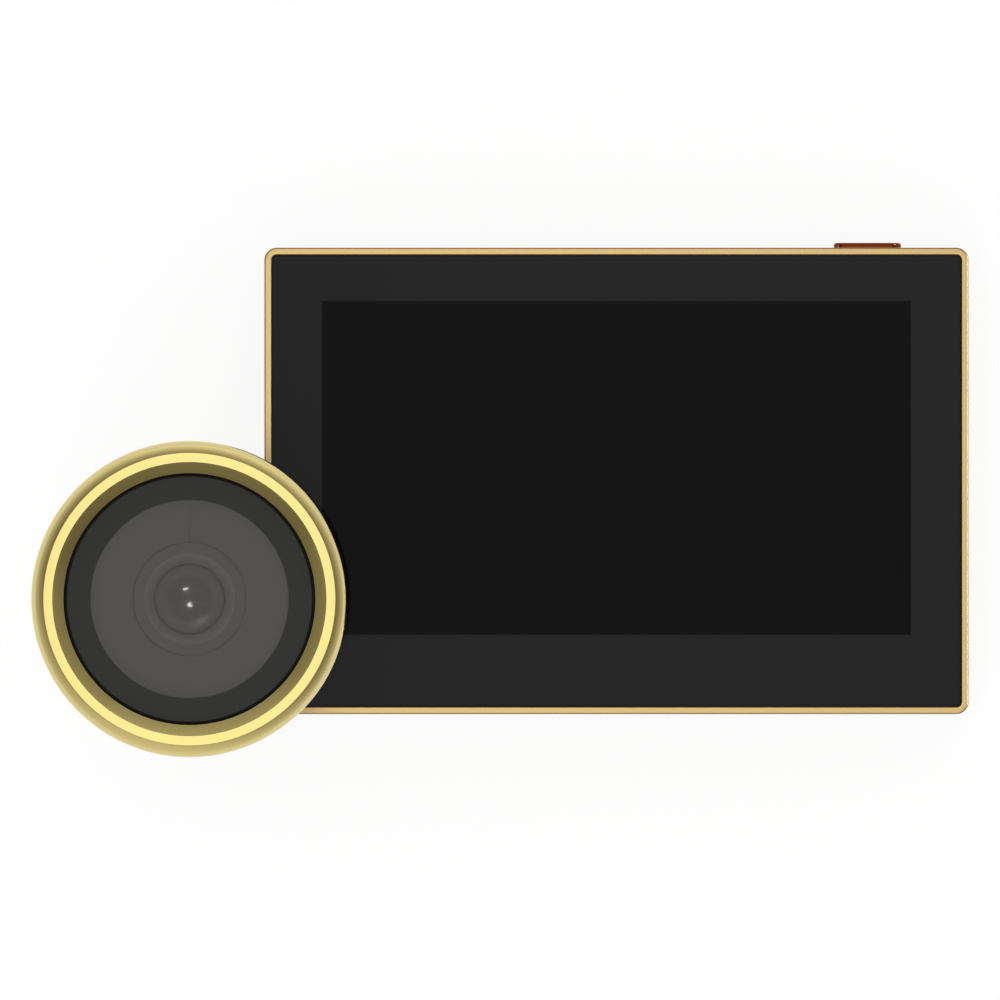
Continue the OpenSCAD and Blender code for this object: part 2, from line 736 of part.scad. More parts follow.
// Black moulded back of the monitor, recessed for the bracket
module rear_cover() {
  panel_in = rear_wall + rear_edge_r;
  tongue_wall = rear_wall - lip_w - fit_gap;
  color(PLASTIC_BLACK) at_monitor() difference() {
    union() {
      translate([0, 0, seam_z]) mirror([0, 0, 1]) edge_sweep(monitor_w, monitor_h, corner_r) {
        rounded_wall(rear_wall, seam_z - rim_gap, rear_edge_r);
        translate([-rear_wall, -tongue_h]) square([tongue_wall, 2 * tongue_h]);
      }
      translate([0, 0, rim_gap]) linear_extrude(rear_floor) difference() {
        rounded_rect(monitor_w - panel_in, monitor_h - panel_in, corner_in_r);
        pocket_outline();
      }
      translate([0, 0, rim_gap]) linear_extrude(floor_z - rim_gap) difference() {
        pocket_outline(rear_floor);
        pocket_outline();
      }
      translate([0, 0, pocket_z]) linear_extrude(rear_floor) pocket_outline(rear_floor / 2);
      at_case_screws() translate([0, 0, rim_gap]) cylinder(d = boss_d, h = lug_z - rim_gap);
      at_board_holes() translate([0, 0, rim_top_z - fit_gap])
        cylinder(d = board_post_d, h = board_z - rim_top_z + fit_gap);
    }
    rear_openings();
  }
}

// Four screws that hold the rear cover to the frame's lugs
module case_screws() {
  color(STEEL) at_monitor() at_case_screws() translate([0, 0, case_seat_z]) mirror([0, 0, 1])
    cheese_screw(case_screw_d, lug_z + lug_drop / 2 - case_seat_z, case_head_d, case_head_h);
}

// Copper-brown button in the top edge, kept in by its flange
module power_button() {
  h = rear_wall + button_proud + fit_gap / 2;
  color(COPPER) at_monitor() translate([button_x, flange_y, button_z]) rotate([-90, 0, 0]) {
    rounded_bar(button_w, button_t, h, button_edge_r);
    translate([0, 0, -button_flange]) linear_extrude(button_flange)
      stadium(button_w + 2 * button_flange, button_t + 2 * button_flange);
  }
}

// Plunger of the key switch, which follows the button
module switch_plunger() {
  color(PLASTIC_GREY) at_monitor() translate([button_x, plunger_y, button_z]) rotate([90, 0, 0])
    cylinder(d = plunger_d, h = plunger_y - switch_y + plunger_in);
}

// Key switch under the edge of the main board
module key_switch() {
  bore_l = plunger_in + button_travel + fit_gap;
  color(PLASTIC_BLACK) at_monitor() difference() {
    translate([button_x - switch_w / 2, switch_y - switch_depth, board_z - switch_h])
      cube([switch_w, switch_depth, switch_h]);
    translate([button_x, switch_y + CUT, button_z]) rotate([90, 0, 0])
      cylinder(d = plunger_d + 2 * fit_gap, h = bore_l + CUT);
  }
}

// Main circuit board, notched round the two screw lugs at its right
module main_board() {
  color(BOARD_GREEN) at_monitor(board_z) linear_extrude(board_t) difference() {
    translate([board_x0, -board_h / 2]) square([board_w, board_h]);
    for (sy = [-1, 1])
      translate([board_x1 - notch, sy * board_h / 2 - notch]) square([notch + CUT, 2 * notch]);
    at_board_holes() circle(d = small_screw_d + 2 * fit_gap);
  }
}

// Four screws that hold the main board to the rear cover's posts
module main_board_screws() {
  color(STEEL) at_monitor(board_z + board_t) at_board_holes()
    cheese_screw(small_screw_d, board_t + under_gap + usb_h / 2, small_head_d, small_head_h);
}

// Folded tin can over the processor
module shield_can() {
  color(STEEL) at_monitor(board_z + board_t) translate(shield_at) difference() {
    linear_extrude(shield_h) rounded_rect(shield_w, shield_w, shield_corner_r);
    translate([0, 0, -CUT]) linear_extrude(shield_h - shield_t + CUT)
      rounded_rect(shield_w - 2 * shield_t, shield_w - 2 * shield_t, shield_corner_r - shield_t);
  }
}

// Ribbon socket hanging under a board at z = 0, open at its lower face
module ribbon_socket() {
  mirror([0, 0, 1]) difference() {
    linear_extrude(ribbon_h) square([ribbon_w, ribbon_d], center = true);
    translate([0, 0, ribbon_h / 2]) linear_extrude(ribbon_h) square(ribbon_mouth, center = true);
  }
}

// Socket on the main board for the camera's ribbon cable
module camera_socket() {
  color(PLASTIC_GREY) at_monitor(board_z) translate([socket_x, 0, 0]) ribbon_socket();
}

// Charging socket at the lower edge, with its tongue
module charging_socket() {
  color(STEEL) at_monitor() translate([usb_x, -inner_y + fit_gap + usb_d, usb_z]) rotate([90, 0, 0]) {
    difference() {
      linear_extrude(usb_d) stadium(usb_w, usb_h);
      translate([0, 0, socket_back]) linear_extrude(usb_d)
        stadium(usb_w - 2 * usb_shell, usb_h - 2 * usb_shell);
    }
    linear_extrude(usb_d - socket_back) square(usb_tongue, center = true);
  }
}

// Memory card socket at the right edge
module card_socket() {
  color(STEEL) at_monitor() translate([inner_x - fit_gap - card_d, card_y, board_z - card_h / 2])
    rotate([90, 0, 90]) difference() {
      linear_extrude(card_d) square([card_w, card_h], center = true);
      translate([0, 0, socket_back]) linear_extrude(card_d) square(card_mouth, center = true);
    }
}

// Flat battery pack behind the display, with rounded long edges
module battery_pack() {
  fold = battery_t / 2;
  color(BATTERY_BLUE) at_monitor() translate([battery_x0 + fold, battery_y1, battery_z + fold])
    rotate([90, 0, 0]) linear_extrude(battery_h) {
      translate([0, -fold]) square([battery_w - 2 * fold, battery_t]);
      circle(fold);
      translate([battery_w - 2 * fold, 0]) circle(fold);
    }
}

// Adhesive pad that holds the battery to the display tray
module battery_pad() {
  w = battery_w - battery_t - 2 * pad_in;
  h = battery_h - 2 * pad_in;
  color(FOAM_BLACK) at_monitor(battery_z + battery_t)
    translate([battery_x0 + (battery_w - w) / 2, battery_y0 + pad_in, 0]) cube([w, h, battery_pad_t]);
}

// Speaker behind the grille in the lower edge, with its dished cone
module speaker() {
  color(PLASTIC_BLACK) at_monitor()
    translate([speaker_x, speaker_y + speaker_d, speaker_z + speaker_h / 2])
    rotate([90, 0, 0]) difference() {
      linear_extrude(speaker_d) rounded_rect(speaker_w, speaker_h, speaker_corner_r);
      translate([0, 0, speaker_d - cone_depth]) linear_extrude(speaker_d)
        stadium(speaker_cone[0], speaker_cone[1]);
    }
}

// Foam gasket between the speaker and the grille
module speaker_gasket() {
  color(FOAM_BLACK) at_monitor() translate([speaker_x, speaker_y, speaker_z + speaker_h / 2])
    rotate([90, 0, 0]) linear_extrude(gasket_t) difference() {
      rounded_rect(speaker_w, speaker_h, speaker_corner_r);
      stadium(gasket_open[0], gasket_open[1]);
    }
}

// Side view of a hook: a stem that bends over into a tip
module bent_hook() {
  bend_at = [bracket_t + hook_bend_r, hook_z - hook_bend_r];
  square([bracket_t, bend_at[1]]);
  translate([bend_at[0], hook_z]) square([hook_l - hook_bend_r, bracket_t]);
  translate(bend_at) rotate(90) difference() {
    quarter_disc(hook_bend_r + bracket_t);
    circle(hook_bend_r);
  }
}

// Stamped steel plate on the door, with four hooks bent up out of it
module door_bracket() {
  color(STEEL) at_monitor() {
    linear_extrude(bracket_t) difference() {
      rounded_rect(bracket_w, bracket_h, bracket_corner_r);
      circle(d = hole_d);
      for (side = [-1, 1]) translate([side * slot_x, 0]) stadium(slot_l, slot_d);
      at_hooks() translate([-hook_w / 2 - slot_gap, -hook_tab])
        square([hook_w + 2 * slot_gap, hook_tab]);
    }
    at_hooks() translate([-hook_w / 2, 0, 0]) rotate([90, 0, 90]) linear_extrude(hook_w) bent_hook();
  }
}

// Gold ring round the window: rounded flank, flat crown and inner slope, with a web and a skirt behind
module bezel_ring() {
  color(GOLD_POLISHED) at_camera(head_z) rotate_extrude() {
    translate([crown_out_r, crown_z - flank_w]) quarter_disc(flank_w);
    polygon([
      [seat_r, web_z], [skirt_r, web_z], [skirt_r, base_h],
      [camera_r - base_chamfer, base_h], [camera_r, base_h + base_chamfer],
      [camera_r, crown_z - flank_w], [crown_out_r, crown_z - flank_w], [crown_out_r, crown_z],
      [crown_in_r, crown_z], [throat_r, slope_z], [throat_r, seat_z], [seat_r, seat_z]
    ]);
  }
}

// Black gasket under and round the window
module window_gasket() {
  side_gap = fit_gap / 4;
  color(FOAM_BLACK) at_camera(head_z) {
    translate([0, 0, seat_z]) disc_ring(throat_r - side_gap, seat_r, seal_t);
    translate([0, 0, seat_z]) disc_ring(throat_r - side_gap, window_r + side_gap, seal_top_z - seat_z);
  }
}

// Round window with a chamfered front edge
module front_window() {
  color(CLEAR) at_camera(head_z + window_z) rotate_extrude()
    polygon([
      [0, 0], [window_r, 0], [window_r, window_t - window_edge],
      [window_r - window_edge, window_t], [0, window_t]
    ]);
}

// Dark printed border on the back of the window
module window_mask() {
  color(GLASS_BLACK) at_camera(head_z + mask_z) disc_ring(window_r, view_r, mask_t);
}

// Grey plate round the lens, with a skirt that stands on the sensor board
module baffle_plate() {
  hole_r = ring_out_r + ring_gap;
  skirt_h = baffle_z + baffle_t / 2 - holder_z;
  color(PLASTIC_GREY) at_camera(head_z) difference() {
    union() {
      translate([0, 0, baffle_z]) disc_ring(baffle_r, hole_r, baffle_t);
      translate([0, 0, holder_z]) disc_ring(baffle_r, baffle_r - baffle_wall, skirt_h);
    }
    translate([-slit_w / 2, hole_r - CUT, baffle_z + baffle_t / 2])
      cube([slit_w, baffle_r - hole_r - baffle_wall + CUT, baffle_t]);
  }
}

// Ring that holds the lens down, with a cone round the front lens
module lens_ring() {
  lip_z = ring_top_z - 2 * ring_lip;
  color(PLASTIC_GREY) at_camera(head_z) rotate_extrude()
    polygon([
      [holder_bore_r, ring_z], [ring_out_r, ring_z], [ring_out_r, ring_top_z], [ring_edge_r, ring_top_z],
      [ring_in_r, lip_z + ring_lip], [ring_in_r, lip_z], [holder_bore_r, lip_z]
    ]);
}

// Domed front lens
module front_lens() {
  dome_r = (lens_r * lens_r + dome_h * dome_h) / (2 * dome_h);
  color(CLEAR) at_camera(head_z + lens_z) rotate_extrude() intersection() {
    translate([0, lens_edge + dome_h - dome_r]) circle(dome_r);
    square([lens_r, lens_edge + dome_h]);
  }
}

// Barrel that holds the two lenses
module lens_barrel() {
  path_r = light_d / 2;
  rear_z = lens_barrel_z + rear_seat;
  color(PLASTIC_BLACK) at_camera(head_z) rotate_extrude()
    polygon([
      [path_r - rear_seat, lens_barrel_z], [lens_barrel_r, lens_barrel_z],
      [lens_barrel_r, lens_barrel_top_z], [lens_r + fit_gap, lens_barrel_top_z],
      [lens_r + fit_gap, lens_z], [path_r, lens_z], [path_r, rear_z], [path_r - rear_seat, rear_z]
    ]);
}

// Small lens at the back of the lens barrel
module rear_lens() {
  color(CLEAR) at_camera(head_z + lens_barrel_z + rear_seat)
    cylinder(d = light_d - fit_gap, h = rear_lens_t);
}

// Holder that carries the lens barrel over the image sensor
module lens_holder() {
  color(PLASTIC_BLACK) at_camera(head_z + holder_z)
    disc_ring(holder_bore_r + holder_wall, holder_bore_r, holder_h);
}

// Image sensor under the lens
module image_sensor() {
  color(SCREEN_BLACK) at_camera(head_z + holder_z)
    translate([-sensor_w / 2, -sensor_d / 2, 0]) cube([sensor_w, sensor_d, sensor_t]);
}

// Round circuit board of the camera
module sensor_board() {
  color(BOARD_GREEN) at_camera(head_z + sensor_board_z) linear_extrude(sensor_board_t) difference() {
    circle(cavity_r - 2 * fit_gap);
    at_sensor_screws() circle(d = small_screw_d + 2 * fit_gap);
  }
}

// Socket behind the sensor board for the ribbon cable that leaves through the barrel
module sensor_socket() {
  color(PLASTIC_GREY) at_camera(head_z + sensor_board_z) ribbon_socket();
}

// Three screws that hold the sensor board to the housing's ledge
module sensor_board_screws() {
  shank_l = sensor_board_t + ribbon_h + flange_gap;
  color(STEEL) at_camera(head_z + holder_z) at_sensor_screws()
    cheese_screw(small_screw_d, shank_l, small_head_d - 4 * fit_gap, small_head_h);
}

// Black cup behind the bezel ring, with a ledge for the sensor board
module camera_housing() {
  color(PLASTIC_BLACK) at_camera(head_z) difference() {
    rotate_extrude() polygon([
      [barrel_r + fit_gap, 0], [base_r - base_chamfer, 0], [base_r, base_chamfer], [base_r, base_h],
      [neck_r, base_h], [neck_r, web_z], [cavity_r, web_z], [cavity_r, sensor_board_z],
      [cavity_r - ledge_w, sensor_board_z], [cavity_r - ledge_w, house_floor],
      [barrel_r + fit_gap, house_floor]
    ]);
    at_sensor_screws() translate([0, 0, house_floor])
      cylinder(d = small_screw_d + fit_gap, h = sensor_board_z);
  }
}

// Foam ring between the camera and the door
module door_pad() {
  color(FOAM_BLACK) at_camera(barrel_len) disc_ring(base_r - pad_step, barrel_r + pad_step, pad_t);
}

// Hollow barrel through the door, with a flange inside the housing
module threaded_barrel() {
  flange_z = head_z + house_floor;
  bore_r = bore_d / 2;
  root_r = barrel_r - thread_depth;
  flank = thread_pitch / 2 - thread_flat;
  crests = floor((barrel_len - barrel_chamfer - thread_relief) / thread_pitch);
  thread = [
    for (i = [0 : crests - 1])
      for (p = [
        [barrel_r, 0], [barrel_r, thread_flat], [root_r, thread_flat + flank], [root_r, thread_pitch - flank]
      ])
        [p[0], barrel_chamfer + i * thread_pitch + p[1]]
  ];
  color(GOLD_POLISHED) at_camera() rotate_extrude()
    polygon(concat(
      [[bore_r, 0], [barrel_r - barrel_chamfer, 0]],
      thread,
      [
        [barrel_r, barrel_chamfer + crests * thread_pitch], [barrel_r, flange_z],
        [barrel_r + barrel_flange_w, flange_z], [barrel_r + barrel_flange_w, flange_z + barrel_flange_t],
        [bore_r, flange_z + barrel_flange_t]
      ]
    ));
}

// Flat washer between the clamp nut and the door
module clamp_washer() {
  color(STEEL) at_camera(washer_z)
    disc_ring(nut_flange_r - fit_gap, barrel_r + washer_gap, washer_t);
}

// Fluted nut with a flange that clamps the camera to the door
module clamp_nut() {
  color(GOLD_POLISHED) at_camera(nut_foot) difference() {
    union() {
      linear_extrude(nut_grip_h + nut_flange_t / 2) difference() {
        circle(nut_r);
        for (i = [0 : flute_count - 1])
          rotate(360 * i / flute_count) translate([nut_r + flute_r / 3, 0]) circle(flute_r);
      }
      translate([0, 0, nut_grip_h]) cylinder(r = nut_flange_r, h = nut_flange_t);
    }
    translate([0, 0, -CUT]) cylinder(r = nut_bore_r, h = nut_h + 2 * CUT);
  }
}

front_frame();
cover_glass();
glass_tape();
display_glass();
light_guide();
display_tray();
rear_cover();
case_screws();
power_button();
switch_plunger();
key_switch();
main_board();
main_board_screws();
shield_can();
camera_socket();
charging_socket();
card_socket();
battery_pack();
battery_pad();
speaker();
speaker_gasket();
door_bracket();
bezel_ring();
window_gasket();
front_window();
window_mask();
baffle_plate();
lens_ring();
front_lens();
lens_barrel();
rear_lens();
lens_holder();
image_sensor();
sensor_board();
sensor_socket();
sensor_board_screws();
camera_housing();
door_pad();
threaded_barrel();
clamp_washer();
clamp_nut();
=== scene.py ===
"""Looks of a door viewer set: indoor monitor on its bracket, outdoor camera on a threaded barrel.

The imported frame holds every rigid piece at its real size. This script gives the pieces that show
their fine shapes and finishes, and sets the camera, the floor and a plain soft light. Sizes are in
millimetres until a mesh is made.
"""

from __future__ import annotations

import json
import logging
import math
from dataclasses import dataclass
from enum import Enum

import bmesh
import bpy
import numpy as np
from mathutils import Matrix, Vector

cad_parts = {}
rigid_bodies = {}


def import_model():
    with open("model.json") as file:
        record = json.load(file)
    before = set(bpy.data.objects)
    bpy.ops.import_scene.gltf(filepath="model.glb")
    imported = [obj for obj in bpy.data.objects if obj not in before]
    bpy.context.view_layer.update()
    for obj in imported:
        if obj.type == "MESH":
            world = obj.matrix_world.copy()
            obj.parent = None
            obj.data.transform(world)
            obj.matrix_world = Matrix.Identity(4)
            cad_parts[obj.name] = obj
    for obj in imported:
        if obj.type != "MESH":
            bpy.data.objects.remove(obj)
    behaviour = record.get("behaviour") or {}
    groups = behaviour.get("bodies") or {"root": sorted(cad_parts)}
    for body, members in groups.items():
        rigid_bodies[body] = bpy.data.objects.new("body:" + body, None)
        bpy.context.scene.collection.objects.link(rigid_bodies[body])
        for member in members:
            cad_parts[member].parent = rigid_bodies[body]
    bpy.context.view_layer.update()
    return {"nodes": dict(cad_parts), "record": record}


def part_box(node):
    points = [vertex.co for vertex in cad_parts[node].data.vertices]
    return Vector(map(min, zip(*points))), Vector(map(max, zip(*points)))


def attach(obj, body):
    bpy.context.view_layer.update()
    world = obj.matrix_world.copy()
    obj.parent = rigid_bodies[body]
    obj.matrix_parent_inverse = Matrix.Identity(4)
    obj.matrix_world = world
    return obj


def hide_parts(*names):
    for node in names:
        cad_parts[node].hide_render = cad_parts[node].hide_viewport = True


LOG = logging.getLogger("door_viewer")
MM = 0.001
# Marks a profile point that goes to a plate's middle, and the flat drawn beside the plate's edge.
HUB, RIM = -1000.0, 2.0
# Points closer than this are one point.
MERGE_MM = 1e-4
# Keeps a divisor away from zero.
TINY = 1e-9
# Faces that meet at more than this keep a sharp edge.
CREASE = math.radians(32.0)
# Points on each rounded edge of a profile.
FINE, PLAIN, COARSE = 8, 6, 4
# Mesh attribute with the share of a tone that paints shade, highlights, sheen and reflections.
PAINTED_LIGHT = "painted_light"
# Colour sockets of the mix node: its two tones and its result.
TONE_A, TONE_B, MIXED = 6, 7, 2
# Noise detail of turned rings and of even grain.
RING_DETAIL, GRAIN_DETAIL = 2.0, 3.0

Pair = tuple[float, float]
Outline = list[tuple[float, float, float]]
Span = tuple[np.ndarray, np.ndarray]
Tree, Socket, Piece = bpy.types.NodeTree, bpy.types.NodeSocket, bpy.types.Object


class Pattern(Enum):
    """How the fine texture of a surface runs."""

    BLASTED = "even grain in every direction"
    TURNED = "rings round the camera's axis"
    ROLLED = "long grain along the sheet"
    CELLS = "closed foam cells"


class LampShape(Enum):
    """Outline of a lamp, by Blender's name for it."""

    PANEL = "RECTANGLE"
    OVAL = "ELLIPSE"


def linear(code: str) -> tuple[float, float, float, float]:
    """Turn an sRGB hex colour into linear light, by the curve of the sRGB standard.

    Args:
        code: Colour written as "#rrggbb".

    Returns:
        Red, green, blue and an alpha of 1.
    """
    srgb = np.array([int(code[i : i + 2], 16) for i in (1, 3, 5)]) / 255.0
    light = np.where(srgb <= 0.04045, srgb / 12.92, ((srgb + 0.055) / 1.055) ** 2.4)
    return (*light.tolist(), 1.0)


def add(tree: Tree, kind: str, links: dict[str | int, object] | None = None,
        **settings: object) -> bpy.types.Node:
    """Add one node, set it up and feed its sockets.

    Args:
        tree: Node tree that takes the node.
        kind: Blender's name of the node, after "ShaderNode".
        links: Socket name or number, with the value or the socket that feeds it.
        settings: Properties of the node.

    Returns:
        The new node.
    """
    node = tree.nodes.new("ShaderNode" + kind)
    for name, value in settings.items():
        setattr(node, name, value)
    for socket, value in (links or {}).items():
        if isinstance(value, Socket):
            tree.links.new(value, node.inputs[socket])
        else:
            node.inputs[socket].default_value = value
    return node


def blank(name: str) -> tuple[bpy.types.Material, Tree]:
    """Start a material of this name, and return it with its empty node tree."""
    material = bpy.data.materials.new(name)
    material.use_nodes = True
    material.node_tree.nodes.clear()
    return material, material.node_tree


def from_axis(tree: Tree, place: Socket, axis_mm: Pair) -> Socket:
    """Return the distance of a place from the upright axis at (x, y), in metres."""
    shift = (-axis_mm[0] * MM, -axis_mm[1] * MM, 0.0)
    moved = add(tree, "Mapping", {"Vector": place, "Location": shift, "Scale": (1.0, 1.0, 0.0)})
    length = add(tree, "VectorMath", {0: moved.outputs[0]}, operation="LENGTH")
    return length.outputs["Value"]


def wiped(tree: Tree, place: Socket, smear_mm: float, roughness: Pair) -> Socket:
    """Return a roughness that varies in the faint smears that wiping leaves on glass."""
    smear = add(tree, "TexNoise", {"Vector": place, "Scale": 1.0 / (smear_mm * MM)})
    low, high = roughness
    feed = {"Value": smear.outputs[0], "To Min": low, "To Max": high}
    return add(tree, "MapRange", feed).outputs[0]


@dataclass(frozen=True)
class Finish:
    """A surface whose tone, gloss and relief all follow one fine pattern.

    The pattern is noise at the size of the real grain. It mixes two close tones, spreads the
    roughness between two values and lifts the surface by a small height.
    """

    name: str
    tones: tuple[str, str]
    roughness: Pair
    pattern: Pattern
    grain_mm: float
    relief_mm: float
    metallic: float = 0.0
    specular: float = 0.5
    stretch: float = 40.0
    axis_mm: Pair = (0.0, 0.0)
    # Tone of painted light and shade, mixed in by the mesh attribute.
    painted_light_tone: str = ""

    def texture(self, tree: Tree) -> Socket:
        """Return the pattern, from 0 to 1, laid on the piece's own coordinates."""
        scale = 1.0 / (self.grain_mm * MM)
        place = add(tree, "TexCoord").outputs["Object"]
        if self.pattern is Pattern.TURNED:
            radius = from_axis(tree, place, self.axis_mm)
            feed = {"W": radius, "Scale": scale, "Detail": RING_DETAIL}
            return add(tree, "TexNoise", feed, noise_dimensions="1D").outputs[0]
        if self.pattern is Pattern.ROLLED:
            run = (1.0 / self.stretch, 1.0, 1.0)
            place = add(tree, "Mapping", {"Vector": place, "Scale": run}).outputs[0]
        feed = {"Vector": place, "Scale": scale}
        if self.pattern is Pattern.CELLS:
            return add(tree, "TexVoronoi", feed).outputs["Distance"]
        return add(tree, "TexNoise", {**feed, "Detail": GRAIN_DETAIL}).outputs[0]

    def make(self) -> bpy.types.Material:
        """Return the material, with tone, roughness and bump driven by the pattern."""
        material, tree = blank(self.name)
        grain = self.texture(tree)
        pair = {0: grain, TONE_A: linear(self.tones[0]), TONE_B: linear(self.tones[1])}
        tone = add(tree, "Mix", pair, data_type="RGBA").outputs[MIXED]
        # The mesh attribute mixes in the second tone: painted shade, highlights, sheen and
        # reflections.
        if self.painted_light_tone:
            painted_light = add(tree, "Attribute", attribute_name=PAINTED_LIGHT).outputs["Fac"]
            pair = {0: painted_light, TONE_A: tone, TONE_B: linear(self.painted_light_tone)}
            tone = add(tree, "Mix", pair, data_type="RGBA").outputs[MIXED]
        low, high = self.roughness
        gloss = add(tree, "MapRange", {"Value": grain, "To Min": low, "To Max": high})
        lift = {"Height": grain, "Distance": self.relief_mm * MM, "Strength": 1.0}
        bump = add(tree, "Bump", lift)
        shader = add(tree, "BsdfPrincipled", {
            "Base Color": tone, "Roughness": gloss.outputs[0], "Normal": bump.outputs[0],
            "Metallic": self.metallic, "Specular IOR Level": self.specular})
        add(tree, "OutputMaterial", {"Surface": shader.outputs[0]})
        return material


@dataclass(frozen=True)
class PrintedPane:
    """Anti-reflective cover glass, printed black behind and left open over the display.

    The print reads a little lighter than the unlit display in the opening, and both keep the weak
    mirror of coated glass.
    """

    name: str
    ink: str
    display: str
    centre_mm: Pair
    opening_mm: Pair
    edge_mm: float = 0.06
    smear_mm: float = 9.0
    roughness: Pair = (0.03, 0.06)
    specular: float = 0.05

    def make(self) -> bpy.types.Material:
        """Return the material, with the opening drawn where its two half sizes end."""
        material, tree = blank(self.name)
        place = add(tree, "TexCoord").outputs["Object"]
        shift = (-self.centre_mm[0] * MM, -self.centre_mm[1] * MM, 0.0)
        moved = add(tree, "Mapping", {"Vector": place, "Location": shift})
        halves = (self.opening_mm[0] * MM / 2.0, self.opening_mm[1] * MM / 2.0, 0.0)
        size = add(tree, "VectorMath", {0: moved.outputs[0]}, operation="ABSOLUTE")
        past = add(tree, "VectorMath", {0: size.outputs[0], 1: halves}, operation="SUBTRACT")
        split = add(tree, "SeparateXYZ", {0: past.outputs[0]})
        outside = add(tree, "Math", {0: split.outputs[0], 1: split.outputs[1]}, operation="MAXIMUM")
        edge = self.edge_mm * MM
        printed = add(tree, "MapRange", {
            "Value": outside.outputs[0], "From Min": -edge, "From Max": edge})
        pair = {0: printed.outputs[0], TONE_A: linear(self.display), TONE_B: linear(self.ink)}
        tone = add(tree, "Mix", pair, data_type="RGBA").outputs[MIXED]
        gloss = wiped(tree, place, self.smear_mm, self.roughness)
        shader = add(tree, "BsdfPrincipled", {
            "Base Color": tone, "Roughness": gloss, "Specular IOR Level": self.specular})
        add(tree, "OutputMaterial", {"Surface": shader.outputs[0]})
        return material


@dataclass(frozen=True)
class SmokedWindow:
    """Round window with a black printed border and a smoked middle that half hides the lens.

    The middle scatters a grey haze and lets the rest through, so the lens behind it shows at low
    contrast. The haze is a little paler towards the border: painted light against the shade there.
    """

    name: str
    ink: str
    haze: str
    painted_rim_haze: str
    axis_mm: Pair
    clear_r_mm: float
    cover: float
    rim_share: float = 0.75
    edge_mm: float = 0.05
    smear_mm: float = 6.0
    roughness: Pair = (0.04, 0.08)
    specular: float = 0.08

    def make(self) -> bpy.types.Material:
        """Return the material, whose tone and opacity change at the clear radius."""
        material, tree = blank(self.name)
        place = add(tree, "TexCoord").outputs["Object"]
        radius = from_axis(tree, place, self.axis_mm)
        low, high = (self.clear_r_mm - self.edge_mm) * MM, (self.clear_r_mm + self.edge_mm) * MM
        border = {"Value": radius, "From Min": low, "From Max": high}
        printed = add(tree, "MapRange", border)
        cover = add(tree, "MapRange", {**border, "To Min": self.cover})
        # The haze grows paler towards the border: painted light against the shade on the baffle.
        painted_rim = add(tree, "MapRange", {
            "Value": radius, "From Min": self.rim_share * low, "From Max": low})
        pair = {0: painted_rim.outputs[0], TONE_A: linear(self.haze), TONE_B: linear(self.painted_rim_haze)}
        haze = add(tree, "Mix", pair, data_type="RGBA").outputs[MIXED]
        pair = {0: printed.outputs[0], TONE_A: haze, TONE_B: linear(self.ink)}
        tone = add(tree, "Mix", pair, data_type="RGBA").outputs[MIXED]
        gloss = wiped(tree, place, self.smear_mm, self.roughness)
        shader = add(tree, "BsdfPrincipled", {
            "Base Color": tone, "Roughness": gloss, "Alpha": cover.outputs[0],
            "Specular IOR Level": self.specular})
        add(tree, "OutputMaterial", {"Surface": shader.outputs[0]})
        return material


Surface = Finish | PrintedPane | SmokedWindow


def span(node: str) -> Span:
    """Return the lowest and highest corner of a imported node's box in millimetres."""
    low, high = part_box(node)
    return np.array(low) / MM, np.array(high) / MM


def middle_of(node: str) -> np.ndarray:
    """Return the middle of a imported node's box."""
    low, high = span(node)
    return (low + high) / 2.0


def half_width(node: str) -> float:
    """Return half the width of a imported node's box, which is the radius of a round one."""
    low, high = span(node)
    return (high[0] - low[0]) / 2.0


def footprint(node: str) -> tuple[np.ndarray, Pair]:
    """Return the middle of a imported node's box at height 0, and its size along x and y."""
    low, high = span(node)
    x, y = middle_of(node)[:2]
    return np.array([x, y, 0.0]), (float(high[0] - low[0]), float(high[1] - low[1]))


def rounded(outline: Outline, steps: int) -> np.ndarray:
    """Round every corner of a closed outline with an arc that touches both sides.

    For a corner with unit directions a and b to its neighbours and half the angle h between them,
    the arc's middle lies on their bisector at radius / sin(h), and it starts at radius / tan(h)
    along each side.

    Args:
        outline: Corners as (out, up, radius).
        steps: Points on each arc.

    Returns:
        Array of points, one row for each.
    """
    table = np.array(outline, float)
    corner, radius = table[:, :2], table[:, 2:]
    back = np.roll(corner, 1, axis=0) - corner
    ahead = np.roll(corner, -1, axis=0) - corner
    back /= np.linalg.norm(back, axis=1, keepdims=True)
    ahead /= np.linalg.norm(ahead, axis=1, keepdims=True)
    half = np.arccos(np.clip((back * ahead).sum(1, keepdims=True), -1.0, 1.0)) / 2.0
    bisector = back + ahead
    bisector /= np.maximum(np.linalg.norm(bisector, axis=1, keepdims=True), TINY)
    middle = corner + bisector * radius / np.sin(half)
    start = corner + back * radius / np.tan(half) - middle
    end = corner + ahead * radius / np.tan(half) - middle
    sweep = np.pi - 2.0 * half
    share = np.linspace(0.0, 1.0, steps)[None, :, None]
    leaving = np.sin((1.0 - share) * sweep[:, None]) * start[:, None]
    arriving = np.sin(share * sweep[:, None]) * end[:, None]
    blend = (leaving + arriving) / np.maximum(np.sin(sweep), TINY)[:, None]
    points = (middle[:, None] + blend).reshape(-1, 2)
    fresh = np.linalg.norm(points - np.roll(points, 1, axis=0), axis=1) > MERGE_MM
    return points[fresh]


def plate_profile(low: float, high: float, low_edge: float, high_edge: float) -> np.ndarray:
    """Give the profile of a plate, from the middle of its back round its edges to its front's.

    Args:
        low: Height of the back.
        high: Height of the front.
        low_edge: Radius of the back's edge.
        high_edge: Radius of the front's edge.

    Returns:
        Points as (out, up), with out at HUB in the middle.
    """
    points = rounded([(-RIM, low, 0.0), (0.0, low, low_edge), (0.0, high, high_edge),
                      (-RIM, high, 0.0)], FINE)
    points[points[:, 0] < -RIM / 2.0, 0] = HUB
    return points


